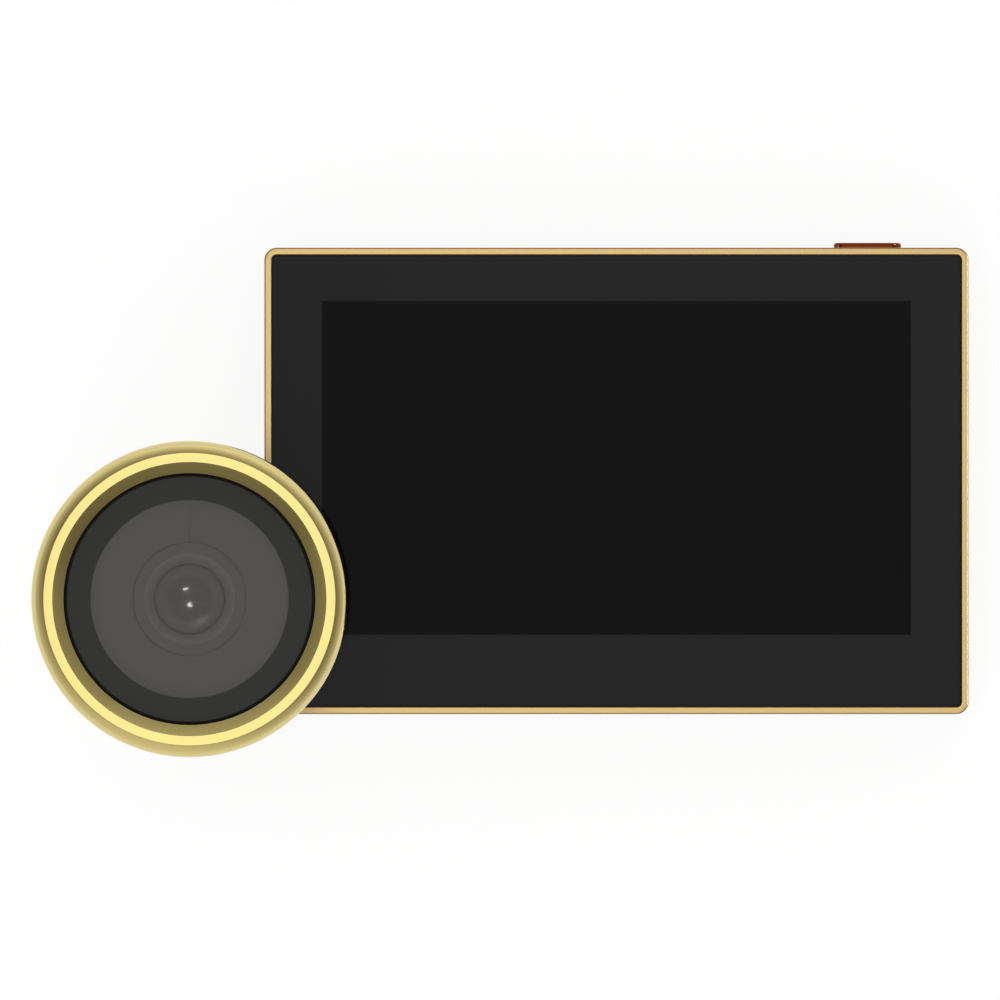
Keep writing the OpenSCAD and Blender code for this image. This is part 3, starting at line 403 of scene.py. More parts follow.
def round_axis(axis: np.ndarray, radius: np.ndarray, angle: np.ndarray,
               height: np.ndarray) -> np.ndarray:
    """Set points round an upright axis: (r, t, z) goes to (x + r cos t, y + r sin t, z).

    Args:
        axis: Place of the axis as (x, y).
        radius: Distances from the axis.
        angle: Angles round the axis, as a row.
        height: Heights, as a column.

    Returns:
        Array of points, with a row for each height and a column for each angle.
    """
    radius, angle, height = np.broadcast_arrays(radius, angle, height)
    x, y = axis[0] + radius * np.cos(angle), axis[1] + radius * np.sin(angle)
    return np.stack([x, y, height], axis=-1)


def full_turn(steps: int) -> np.ndarray:
    """Return a row of even angles that goes once round."""
    return np.linspace(0.0, 2.0 * np.pi, steps, endpoint=False)[None, :]


def grid_piece(name: str, points: np.ndarray, ring: bool = True,
               painted_light: np.ndarray | None = None) -> Piece:
    """Make a piece from a grid of points whose columns close on themselves.

    Args:
        name: Name of the piece.
        points: Array of rows by columns by three, in millimetres.
        ring: Whether the last row joins the first. If not, both lie on the axis or in the middle.
        painted_light: Share of the painted light and shade tone for each row.

    Returns:
        The piece, with merged doubles, outward faces, smooth faces and sharp creases.
    """
    rows, columns = points.shape[:2]
    row, column = np.meshgrid(np.arange(rows if ring else rows - 1), np.arange(columns),
                              indexing="ij")
    below, beside = (row + 1) % rows, (column + 1) % columns
    quads = np.stack([row * columns + column, below * columns + column,
                      below * columns + beside, row * columns + beside], axis=-1)
    mesh = bpy.data.meshes.new(name)
    mesh.from_pydata((points.reshape(-1, 3) * MM).tolist(), [], quads.reshape(-1, 4).tolist())
    if painted_light is not None:
        shares = mesh.attributes.new(PAINTED_LIGHT, "FLOAT", "POINT").data
        shares.foreach_set("value", np.repeat(painted_light, columns))
    work = bmesh.new()
    work.from_mesh(mesh)
    bmesh.ops.remove_doubles(work, verts=work.verts, dist=MERGE_MM * MM)
    bmesh.ops.recalc_face_normals(work, faces=work.faces)
    work.to_mesh(mesh)
    work.free()
    mesh.polygons.foreach_set("use_smooth", np.ones(len(mesh.polygons), bool))
    mesh.set_sharp_from_angle(angle=CREASE)
    piece = bpy.data.objects.new(name, mesh)
    bpy.context.scene.collection.objects.link(piece)
    weigh = piece.modifiers.new("even_flats", "WEIGHTED_NORMAL")
    weigh.keep_sharp = True
    return piece


def revolved(name: str, profile: np.ndarray, axis: np.ndarray, turns: int = 192,
             painted_light: np.ndarray | None = None) -> Piece:
    """Carry a closed profile once round an upright axis.

    Args:
        name: Name of the piece.
        profile: Points as (radius, height).
        axis: Place of the axis as (x, y).
        turns: Number of steps round the axis.
        painted_light: Share of the painted light and shade tone for each point of the profile.

    Returns:
        The new piece.
    """
    points = round_axis(axis, profile[:, :1], full_turn(turns), profile[:, 1:])
    return grid_piece(name, points, bool(profile[0, 0] > 0.0), painted_light)


def swept(name: str, profile: np.ndarray, centre: np.ndarray, size: Pair,
          corner: float, arc_steps: int = 12, axes: tuple[int, int, int] = (0, 1, 2),
          painted_light: np.ndarray | None = None) -> Piece:
    """Carry a closed profile round a rectangle with round corners.

    A profile point (out, up) lies at the outline's point plus out times its outward normal, at
    height up. A point with out at HUB goes to the rectangle's middle, which closes a plate.

    Args:
        name: Name of the piece.
        profile: Points as (out, up).
        centre: Middle of the rectangle, in the order of the swept axes.
        size: Width and height of the rectangle.
        corner: Radius of its corners.
        arc_steps: Steps on each corner.
        axes: Order in which the swept axes become x, y and z.
        painted_light: Share of the painted light and shade tone for each point of the profile.

    Returns:
        The new piece.
    """
    quarter = np.pi / 2.0
    turn = np.linspace(0.0, quarter, arc_steps)[None, :] + np.arange(4)[:, None] * quarter
    normal = np.stack([np.cos(turn), np.sin(turn)], axis=-1)
    sides = np.array([[1, 1], [-1, 1], [-1, -1], [1, -1]])[:, None, :]
    path = sides * (np.array(size) / 2.0 - corner) + corner * normal
    path, normal = path.reshape(-1, 2), normal.reshape(-1, 2)
    out, up = profile[:, None, :1], profile[:, None, 1:]
    flat = np.where(out <= HUB, 0.0, path[None] + out * normal[None]) + centre[None, None, :2]
    lift = np.broadcast_to(up, (*flat.shape[:2], 1)) + centre[2]
    points = np.concatenate([flat, lift], axis=-1)[:, :, list(axes)]
    return grid_piece(name, points, bool(profile[0, 0] > HUB), painted_light)


@dataclass
class Dresser:
    """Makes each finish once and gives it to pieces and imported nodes."""

    nodes: dict[str, Piece]
    body_of: dict[str, str]
    slot_of: dict[str, str]
    made: dict[str, bpy.types.Material]

    def material(self, finish: Surface) -> bpy.types.Material:
        """Return the finish's material, made at its first use."""
        if finish.name not in self.made:
            self.made[finish.name] = finish.make()
        return self.made[finish.name]

    def trim(self, piece: Piece, node: str, finish: Surface) -> None:
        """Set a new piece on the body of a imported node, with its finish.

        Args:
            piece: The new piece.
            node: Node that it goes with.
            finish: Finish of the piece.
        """
        piece.data.materials.append(self.material(finish))
        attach(piece, self.body_of[node])
        LOG.info("piece %s goes with %s in %s", piece.name, node, finish.name)

    def piece(self, piece: Piece, node: str, finish: Surface) -> None:
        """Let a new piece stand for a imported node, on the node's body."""
        self.trim(piece, node, finish)
        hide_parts(node)

    def node(self, name: str, finish: Surface) -> None:
        """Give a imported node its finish."""
        mesh = self.nodes[name].data
        mesh.materials.clear()
        mesh.materials.append(self.material(finish))
        LOG.info("node %s in %s", name, finish.name)

    def dress(self, finishes: dict[Finish, tuple[str, ...]]) -> None:
        """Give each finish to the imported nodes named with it."""
        for finish, names in finishes.items():
            for name in names:
                self.node(name, finish)


# Bead-blasted, gold-anodised aluminium: a soft warm satin, with painted shade along its outer
# edges.
FRAME_GOLD = Finish("anodised_aluminium_blasted", ("#c8a86e", "#d0b07a"), (0.26, 0.32),
                    Pattern.BLASTED, 0.18, 0.0003, metallic=1.0, painted_light_tone="#8a6f48")
# Copper-plated moulding: dark, glossy and reddish, with the slight orange peel of plating.
KEY_COPPER = Finish("copper_plated_moulding", ("#6a2e10", "#733514"), (0.16, 0.24),
                    Pattern.BLASTED, 0.5, 0.001, metallic=1.0)
# Spark-eroded black ABS: dull, with a fine even grain that breaks up the highlights.
MOULDED_BLACK = Finish("moulded_black_abs", ("#151517", "#1c1c1f"), (0.48, 0.62),
                       Pattern.BLASTED, 0.35, 0.012)
# Satin grey polycarbonate: soft and nearly without gloss, with a painted highlight on the lens
# ring's edge.
MOULDED_GREY = Finish("moulded_grey_polycarbonate", ("#5c5a59", "#646261"), (0.3, 0.4),
                      Pattern.BLASTED, 0.3, 0.002, painted_light_tone="#84817f")
# Zinc-plated rolled steel: grey and clear, with long faint rolling marks.
PLATED_STEEL = Finish("zinc_plated_rolled_steel", ("#a9adb2", "#c3c6c9"), (0.26, 0.4),
                      Pattern.ROLLED, 0.25, 0.0025, metallic=1.0)
# Machined gold-plated brass: clear gold with a fine cut grain.
MACHINED_BRASS = Finish("gold_plated_machined_brass", ("#b99a55", "#c8aa66"), (0.2, 0.3),
                        Pattern.BLASTED, 0.25, 0.0015, metallic=1.0)
# Closed-cell black foam: matt, with small round cells.
CELL_FOAM = Finish("closed_cell_black_foam", ("#101011", "#1e1e20"), (0.85, 0.95),
                   Pattern.CELLS, 0.45, 0.05)
# Green solder mask over copper: glossy lacquer with faint mottling from the tracks under it.
SOLDER_MASK = Finish("solder_masked_board", ("#173f26", "#245a36"), (0.25, 0.4),
                     Pattern.ROLLED, 0.9, 0.01, stretch=6.0)
# Laminated display stack: nearly black, with a matt polarising film on top.
DISPLAY_FILM = Finish("laminated_display_film", ("#101011", "#161617"), (0.3, 0.36),
                      Pattern.BLASTED, 0.12, 0.0005)
# Clear acrylic sheet: pale and glossy, with fine light dots.
ACRYLIC_SHEET = Finish("cast_acrylic_sheet", ("#c9d2d6", "#dde4e6"), (0.08, 0.15),
                       Pattern.CELLS, 0.8, 0.002)
# Ground and coated lens glass: dark and clear, with paler rings as painted reflection of the
# glasses behind.
COATED_GLASS = Finish("coated_lens_glass", ("#161616", "#191918"), (0.12, 0.13),
                      Pattern.BLASTED, 3.0, 0.0, specular=0.3, painted_light_tone="#454443")
# Cured dark brown sealant: dull thin beads in a narrow gap and a slit, as painted shade of them.
SHADE_SEALANT = Finish("painted_shade_sealant", ("#352c1d", "#3a3121"), (0.5, 0.6),
                 Pattern.BLASTED, 0.4, 0.004)
# Heat-sealed blue battery film: slightly wrinkled and semi-gloss.
BATTERY_FILM = Finish("sealed_battery_film", ("#35557f", "#41658f"), (0.3, 0.45),
                      Pattern.BLASTED, 2.5, 0.03)


@dataclass
class Monitor:
    """Indoor monitor: gold frame, printed cover glass, copper key, and the case behind them."""

    dresser: Dresser
    corner_r: float = 2.0
    corner_steps: int = 16
    lip: float = 1.05
    lip_edge: float = 0.22
    lip_inner_edge: float = 0.015
    ledge: float = 0.9
    seam_edge: float = 0.15
    tongue: float = 0.7
    glass_corner_r: float = 0.73
    glass_edge: float = 0.15
    seal_fit: float = 0.01
    seal_drop: float = 0.08
    seal_edge: float = 0.05
    screen: Pair = (95.04, 53.86)
    screen_up: float = 2.1
    key_size: Pair = (10.9, 3.0)
    key_depth: float = 2.6
    key_edge: float = 0.4

    def frame_band(self) -> None:
        """Build the gold band: a flat lip with rounded edges, carried round the case."""
        base, size = footprint("front_frame")
        top = span("front_frame")[1][2]
        seam = span("rear_cover")[1][2] - self.tongue
        seat = span("glass_tape")[0][2]
        back = -self.lip - self.ledge
        profile = rounded([
            (0.0, seam, self.seam_edge), (0.0, top, self.lip_edge),
            (-self.lip, top, self.lip_inner_edge), (-self.lip, seat, 0.0),
            (back, seat, 0.0), (back, seam, 0.0)], FINE)
        # The rows of the outer rounded edge take the darker tone: painted shade along the frame's
        # edge.
        inset = self.lip_edge - MERGE_MM
        painted_edge = (profile[:, 0] > -inset) & (profile[:, 1] > top - inset)
        band = swept("gold_frame_band", profile, base, size, self.corner_r, self.corner_steps,
                     painted_light=painted_edge.astype(float))
        self.dresser.piece(band, "front_frame", FRAME_GOLD)

    def front_pane(self) -> None:
        """Build the cover glass: a plate with rounded edges, with the print in its finish."""
        low, high = span("cover_glass")
        base, size = footprint("cover_glass")
        profile = plate_profile(low[2], high[2], self.glass_edge / 2.0, self.glass_edge)
        pane = swept("printed_cover_glass", profile, base, size, self.glass_corner_r)
        opening = (float(base[0]), float(base[1]) + self.screen_up)
        finish = PrintedPane("coated_glass_printed_black", "#272727", "#020202", opening,
                             self.screen)
        self.dresser.piece(pane, "cover_glass", finish)

    def gap_seal(self) -> None:
        """Build the dark bead that fills the gap between the glass and the frame's lip, as painted
        shade of the gap.
        """
        base, size = footprint("cover_glass")
        gap = (footprint("front_frame")[1][0] - size[0]) / 2.0 - self.lip
        floor, top = span("glass_tape")[0][2], span("cover_glass")[1][2] - self.seal_drop
        near, far = self.seal_fit, gap - self.seal_fit
        profile = rounded([(near, floor, 0.0), (far, floor, 0.0), (far, top, self.seal_edge),
                           (near, top, self.seal_edge)], COARSE)
        bead = swept("gap_seal", profile, base, size, self.glass_corner_r)
        self.dresser.trim(bead, "glass_tape", SHADE_SEALANT)

    def key(self) -> None:
        """Build the copper key: a bar with round ends, set upright in the top edge."""
        middle = middle_of("power_button")
        profile = plate_profile(0.0, self.key_depth, 0.0, self.key_edge)
        foot = span("power_button")[1][1] - self.key_depth
        base = np.array([middle[0], middle[2], foot])
        cap = swept("copper_key", profile, base, self.key_size, self.key_size[1] / 2.0,
                    self.corner_steps, axes=(0, 2, 1))
        self.dresser.piece(cap, "power_button", KEY_COPPER)

    def case(self) -> None:
        """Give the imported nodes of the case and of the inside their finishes."""
        self.dresser.dress({
            MOULDED_BLACK: ("rear_cover", "key_switch", "speaker"),
            MOULDED_GREY: ("switch_plunger", "camera_socket"),
            PLATED_STEEL: ("display_tray", "case_screws", "main_board_screws", "shield_can",
                           "charging_socket", "card_socket"),
            CELL_FOAM: ("glass_tape", "battery_pad", "speaker_gasket"),
            SOLDER_MASK: ("main_board",),
            DISPLAY_FILM: ("display_glass",),
            ACRYLIC_SHEET: ("light_guide",),
            BATTERY_FILM: ("battery_pack",),
        })

    def build(self) -> None:
        """Build and dress the monitor."""
        self.frame_band()
        self.front_pane()
        self.gap_seal()
        self.key()
        self.case()


@dataclass
class CameraHead:
    """Outdoor camera: gold bezel, smoked window, lens group, housing and foam pad."""

    dresser: Dresser
    bezel_turns: int = 256
    flank: float = 2.0
    flank_steps: int = 28
    flank_painted_sheen: float = 0.7
    lean: float = math.radians(11.0)
    crown: float = 1.4
    slope: float = 1.78
    slope_depth: float = 1.94
    wall_draft: float = 0.17
    seat: float = 1.9
    seat_depth: float = 4.6
    web: float = 1.2
    skirt: float = 1.5
    skirt_edge: float = 0.1
    foot: float = 0.4
    back_edge: float = 0.05
    window_edge: float = 0.2
    window_cover: float = 0.3
    border: float = 3.9
    ring_width: float = 3.3
    ring_edge: float = 0.12
    ring_lip: float = 0.3
    ring_bore: float = 6.2
    cone: float = 1.4
    cone_edge: float = 0.3
    cone_foot_edge: float = 0.04
    rim_band: float = 0.2
    lens_r: float = 5.4
    dome: float = 1.4
    dome_steps: int = 40
    # Shares of paler tone across the lens: a painted reflection of the glasses behind.
    zone_reach: tuple[float, ...] = (0.0, 0.18, 0.6, 0.75)
    zone_painted_light: tuple[float, ...] = (0.0, 0.5, 0.5, 1.0)
    slit_depth: float = 0.5
    slit_start: float = 9.2
    slit_end: float = 16.0
    bead: Pair = (0.05, 0.3)
    bead_edge: float = 0.01

    def axis(self) -> np.ndarray:
        """Return the camera's axis as (x, y)."""
        return middle_of("bezel_ring")[:2]

    def bezel(self) -> None:
        """Build the bezel: rounded flank and flat crown, with a satin liner as its inner slope.

        The flank is an arc that starts at a slight lean, so that a crisp line parts it from the
        crown. The liner is a ring with three corners that fills the rebate inside the crown.
        """
        low, high = span("bezel_ring")
        outer = half_width("bezel_ring")
        top, base = high[2], low[2]
        crown_in = outer - self.flank - self.crown
        throat = crown_in - self.slope
        slope_foot = top - self.slope_depth
        seat_z = top - self.seat_depth
        web_z = seat_z - self.web
        seat_r = throat - self.wall_draft
        inner = seat_r - self.seat
        skirt_in = outer - self.skirt
        bend = self.flank / (1.0 - math.sin(self.lean))
        lean = np.linspace(np.pi / 2.0, self.lean, self.flank_steps)
        arc_z = top - bend * math.cos(self.lean)
        arc = np.stack([outer - bend + bend * np.sin(lean), arc_z + bend * np.cos(lean),
                        np.zeros(len(lean))], axis=1)
        rebate = [(crown_in, top, 0.0), (crown_in, slope_foot, 0.0), (throat, slope_foot, 0.0)]
        profile = rounded([
            (inner, web_z, 0.0), (skirt_in, web_z, 0.0), (skirt_in, base, self.skirt_edge),
            (outer, base, self.foot), *arc.tolist(), *rebate,
            (seat_r, seat_z, 0.0), (inner, seat_z, 0.0)], FINE)
        # The flank's share of paler tone grows towards its outer edge: a painted sheen.
        flank = np.clip((profile[:, 0] - outer) / self.flank + 1.0, 0.0, 1.0)
        ring = revolved("gold_bezel", profile, self.axis(), self.bezel_turns,
                        self.flank_painted_sheen * flank)
        x, y = self.axis().tolist()
        # Turned and polished gold-plated brass: bright, with faint lathe rings and a painted sheen
        # on the flank.
        polished = Finish("gold_plated_turned_brass", ("#c2af6c", "#cbb876"), (0.14, 0.18),
                          Pattern.TURNED, 0.22, 0.0006, metallic=1.0, axis_mm=(x, y),
                          painted_light_tone="#cfc28a")
        self.dresser.piece(ring, "bezel_ring", polished)
        liner = revolved("bezel_liner", rounded(rebate, FINE), self.axis(), self.bezel_turns)
        # Satin-turned gold-plated brass: softer, darker as painted shade of the recess, with a
        # sheen that fades round the ring.
        satin = Finish("gold_plated_satin_brass", ("#a49660", "#aa9c65"), (0.28, 0.32),
                       Pattern.TURNED, 0.22, 0.0004, metallic=1.0, axis_mm=(x, y))
        self.dresser.trim(liner, "bezel_ring", satin)

    def window(self) -> None:
        """Build the window: a disc with a small rounded edge, printed at its border."""
        low, high = span("front_window")
        radius = half_width("front_window")
        profile = rounded([
            (0.0, low[2], 0.0), (radius, low[2], self.back_edge),
            (radius, high[2], self.window_edge), (0.0, high[2], 0.0)], PLAIN)
        pane = revolved("smoked_window", profile, self.axis())
        x, y = self.axis().tolist()
        # The second, paler haze tone is painted light for the border, where shade falls on the
        # baffle.
        finish = SmokedWindow("smoked_glass_printed_black", "#363634", "#797776", "#82807f",
                              (x, y), float(radius - self.border), self.window_cover)
        self.dresser.piece(pane, "front_window", finish)

    def lens_ring(self) -> None:
        """Build the lens ring: a flat rim and a cone that leads down to the lens."""
        low, high = span("lens_ring")
        top, lip = high[2], high[2] - 2.0 * self.ring_lip
        outer = half_width("lens_ring")
        inner = outer - self.ring_width
        cone_out = inner + self.cone
        profile = rounded([
            (self.ring_bore, low[2], 0.0), (outer, low[2], self.back_edge),
            (outer, top, self.ring_edge), (cone_out + self.rim_band, top, 0.0),
            (cone_out, top, self.cone_edge), (inner, top - self.ring_lip, self.cone_foot_edge),
            (inner, lip, 0.0), (self.ring_bore, lip, 0.0)], FINE)
        # The rows round the cone's top edge take the paler tone: a painted highlight on that edge.
        painted_edge = (np.abs(profile[:, 0] - cone_out) < self.rim_band / 2.0) & (profile[:, 1] > lip)
        ring = revolved("grey_lens_ring", profile, self.axis(), painted_light=painted_edge.astype(float))
        self.dresser.piece(ring, "lens_ring", MOULDED_GREY)

    def front_lens(self) -> None:
        """Build the domed front lens, and give the rear lens the same finish.

        The dome is a cap of the sphere whose radius is (r^2 + d^2) / (2 d), for a lens of radius r
        that rises by d. Paler zones of it are a painted reflection of the glasses behind.
        """
        low, high = span("front_lens")
        sphere = (self.lens_r**2 + self.dome**2) / (2.0 * self.dome)
        reach = np.linspace(0.0, self.lens_r, self.dome_steps)
        # Paler zones across the dome: a painted reflection of the glasses behind.
        zones = np.interp(reach / self.lens_r, self.zone_reach, self.zone_painted_light)
        cap = np.stack([reach, high[2] - sphere + np.sqrt(sphere**2 - reach**2)], axis=1)
        profile = np.concatenate([cap, [[self.lens_r, low[2]], [0.0, low[2]]]])
        glass = revolved("domed_front_lens", profile, self.axis(),
                         painted_light=np.append(zones, [0.0, 0.0]))
        self.dresser.piece(glass, "front_lens", COATED_GLASS)
        self.dresser.node("rear_lens", COATED_GLASS)

    def slit_bead(self) -> None:
        """Lay a fine dark bead on the floor of the slit in the baffle plate, as painted shade of
        the slit.
        """
        floor = span("baffle_plate")[1][2] - self.slit_depth
        width, height = self.bead
        x, y = self.axis().tolist()
        base = np.array([x, y + (self.slit_start + self.slit_end) / 2.0, 0.0])
        size = (width, self.slit_end - self.slit_start)
        profile = plate_profile(floor, floor + height, 0.0, self.bead_edge)
        bead = swept("slit_bead", profile, base, size, width / 2.0)
        self.dresser.trim(bead, "baffle_plate", SHADE_SEALANT)

    def shell(self) -> None:
        """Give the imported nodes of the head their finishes."""
        self.dresser.dress({
            MOULDED_BLACK: ("camera_housing", "lens_barrel", "lens_holder", "window_mask"),
            MOULDED_GREY: ("baffle_plate", "sensor_socket"),
            CELL_FOAM: ("window_gasket", "door_pad"),
            SOLDER_MASK: ("sensor_board",),
            PLATED_STEEL: ("sensor_board_screws",),
            DISPLAY_FILM: ("image_sensor",),
        })

    def build(self) -> None:
        """Build and dress the camera head."""
        self.bezel()
        self.window()
        self.lens_ring()
        self.front_lens()
        self.slit_bead()
        self.shell()


@dataclass
class Clamp:
    """Threaded barrel through the door, with its washer and its fluted nut.

    The washer's edges go round its section: inner and outer at the back, outer and inner in front.
    """

    dresser: Dresser
    pitch: float = 1.5
    thread_depth: float = 0.75
    thread_turns: int = 96
    steps_per_pitch: int = 10
    crest: float = 0.16
    run_out: float = 2.5
    chamfer: float = 0.8
    bore_r: float = 5.25
    flange_t: float = 1.4
    flange_w: float = 3.0
    washer_fit: float = 0.2
    washer_edges: tuple[float, float, float, float] = (0.1, 0.2, 0.35, 0.2)
    washer_turns: int = 128
    nut_fit: float = 0.06
    nut_flange_w: float = 1.2
    nut_flange_t: float = 2.2
    nut_edge: float = 0.35
    nut_step_edge: float = 0.25
    nut_fine_edge: float = 0.3
    flutes: int = 18
    flute_r: float = 0.9
    flute_out: float = 0.3
    flute_steps: int = 24

    def crest_r(self) -> float:
        """Return the radius of the thread's crest."""
        return half_width("threaded_barrel") - self.flange_w

    def barrel(self) -> None:
        """Build the barrel with its helical thread.

        The thread's radius falls from the crest by a triangle wave of the phase
        z / pitch - t / (2 pi), cut flat at crest and root. It fades out below the pad, and a
        chamfer limits it at the free end.
        """
        low, high = span("threaded_barrel")
        flange_r, crest_r = half_width("threaded_barrel"), self.crest_r()
        shoulder = high[2] - self.flange_t
        pad_z = span("door_pad")[0][2]
        angle = full_turn(self.thread_turns)
        height = np.arange(low[2], pad_z, self.pitch / self.steps_per_pitch)[:, None]
        phase = (height / self.pitch - angle / (2.0 * np.pi)) % 1.0
        wave = np.abs(2.0 * phase - 1.0) * (1.0 + 2.0 * self.crest) - self.crest
        fade = np.clip((pad_z - height) / self.run_out, 0.0, 1.0)
        radius = crest_r - self.thread_depth * np.clip(wave, 0.0, 1.0) * fade
        radius = np.minimum(radius, crest_r - self.chamfer + (height - low[2]))
        tail = np.array([[crest_r, pad_z], [crest_r, shoulder], [flange_r, shoulder],
                         [flange_r, high[2]], [self.bore_r, high[2]], [self.bore_r, low[2]]])
        smooth = np.broadcast_to(tail[:, :1], (len(tail), self.thread_turns))
        points = round_axis(middle_of("threaded_barrel")[:2], np.concatenate([radius, smooth]),
                            angle, np.concatenate([height, tail[:, 1:]]))
        barrel = grid_piece("cut_thread_barrel", points)
        self.dresser.piece(barrel, "threaded_barrel", MACHINED_BRASS)

    def washer(self) -> None:
        """Build the washer as a ring with edges rounded by the press."""
        low, high = span("clamp_washer")
        outer, inner = half_width("clamp_washer"), self.crest_r() + self.washer_fit
        corners = ((inner, low[2]), (outer, low[2]), (outer, high[2]), (inner, high[2]))
        section = [(*corner, edge) for corner, edge in zip(corners, self.washer_edges)]
        ring = revolved("pressed_washer", rounded(section, PLAIN), middle_of("clamp_washer")[:2],
                        self.washer_turns)
        self.dresser.piece(ring, "clamp_washer", PLATED_STEEL)

    def nut(self) -> None:
        """Build the nut: a fluted grip under a round flange, bored through.

        Each flute is the arc of a circle of radius f whose middle lies at distance c from the
        axis, at polar radius c cos(p) - sqrt(f^2 - c^2 sin^2(p)) for an angle p from the flute's
        middle.
        """
        low, high = span("clamp_nut")
        flange_r = half_width("clamp_nut")
        grip_r = flange_r - self.nut_flange_w
        bore_r = self.crest_r() + self.nut_fit
        step_z = high[2] - self.nut_flange_t
        angle = full_turn(self.flutes * self.flute_steps)
        slot = 2.0 * np.pi / self.flutes
        offset = (angle + slot / 2.0) % slot - slot / 2.0
        reach = grip_r + self.flute_out
        inside = self.flute_r**2 - (reach * np.sin(offset)) ** 2
        cut = reach * np.cos(offset) - np.sqrt(np.maximum(inside, 0.0))
        grip = np.where(inside > 0.0, np.minimum(cut, grip_r), grip_r)
        rows = rounded([
            (bore_r, low[2], self.nut_fine_edge), (grip_r, low[2], self.nut_edge),
            (grip_r, step_z, 0.0), (flange_r, step_z, self.nut_step_edge),
            (flange_r, high[2], self.nut_fine_edge), (bore_r, high[2], self.nut_fine_edge)], PLAIN)
        out, up = rows[:, :1], rows[:, 1:]
        fluted = (up <= step_z) & (out > bore_r + self.nut_edge) & (out <= grip_r)
        radius = np.where(fluted, np.minimum(out, grip - (grip_r - out)), out)
        points = round_axis(middle_of("clamp_nut")[:2], radius, angle, up)
        self.dresser.piece(grid_piece("fluted_clamp_nut", points), "clamp_nut", MACHINED_BRASS)

    def build(self) -> None:
        """Build and dress the barrel, the washer and the nut."""
        self.barrel()
        self.washer()
        self.nut()


@dataclass(frozen=True)
class Lamp:
    """One lamp: the node it faces, its angle from overhead, its bearing, its size and radiance.

    A lamp that names a piece lights that piece only.
    """

    name: str
    node: str
    zenith: float
    around: float
    size_mm: Pair
    radiance: float
    only: str = ""
    shape: LampShape = LampShape.PANEL
    tint: str = "#ffffff"


LAMPS = (
    Lamp("overhead_box", "bezel_ring", 0.0, 0.0, (360.0, 620.0), 1.62),
    Lamp("long_glint", "front_lens", 18.0, 112.0, (215.0, 42.0), 290.0, "domed_front_lens"),
    Lamp("round_glint", "front_lens", 9.7, 270.0, (98.0, 98.0), 420.0, "domed_front_lens",
         LampShape.OVAL),
    Lamp("low_sheen", "front_lens", 41.7, 296.0, (800.0, 300.0), 4.5, "domed_front_lens",
         LampShape.OVAL),
    Lamp("high_sheen", "front_lens", 54.0, 24.0, (170.0, 400.0), 5.0, "domed_front_lens",
         LampShape.OVAL, "#9fd8c0"),
    Lamp("liner_sheen_right", "bezel_ring", 78.0, 62.0, (12000.0, 620.0), 0.8, "bezel_liner"),
    Lamp("liner_sheen_left", "bezel_ring", 78.0, 130.0, (12000.0, 620.0), 0.92, "bezel_liner"),
    Lamp("side_strip", "front_frame", 48.0, 3.0, (900.0, 500.0), 34.0, "gold_frame_band",
         tint="#bddeff"),
    Lamp("key_glint", "power_button", 50.0, 40.0, (500.0, 300.0), 90.0, "copper_key",
         tint="#86b2ff"),
    Lamp("key_sheen", "power_button", 62.0, 180.0, (500.0, 150.0), 30.0, "copper_key",
         tint="#86b2ff"),
)

# Sky levels by the angle from overhead, as a share of a half turn: the level at the sides, the
# level ahead and behind, and, past one half, how much more comes from behind than from before.
SKY_STOPS = {
    0.0: (0.2, 0.6, 0.1), 0.055: (0.2, 0.6, 0.1), 0.19: (0.31, 0.73, 0.02),
    0.305: (0.45, 0.89, 0.42), 0.46: (0.76, 1.145, 0.61), 0.5: (0.85, 1.2, 0.62),
}
SKY_EVEN = 0.5


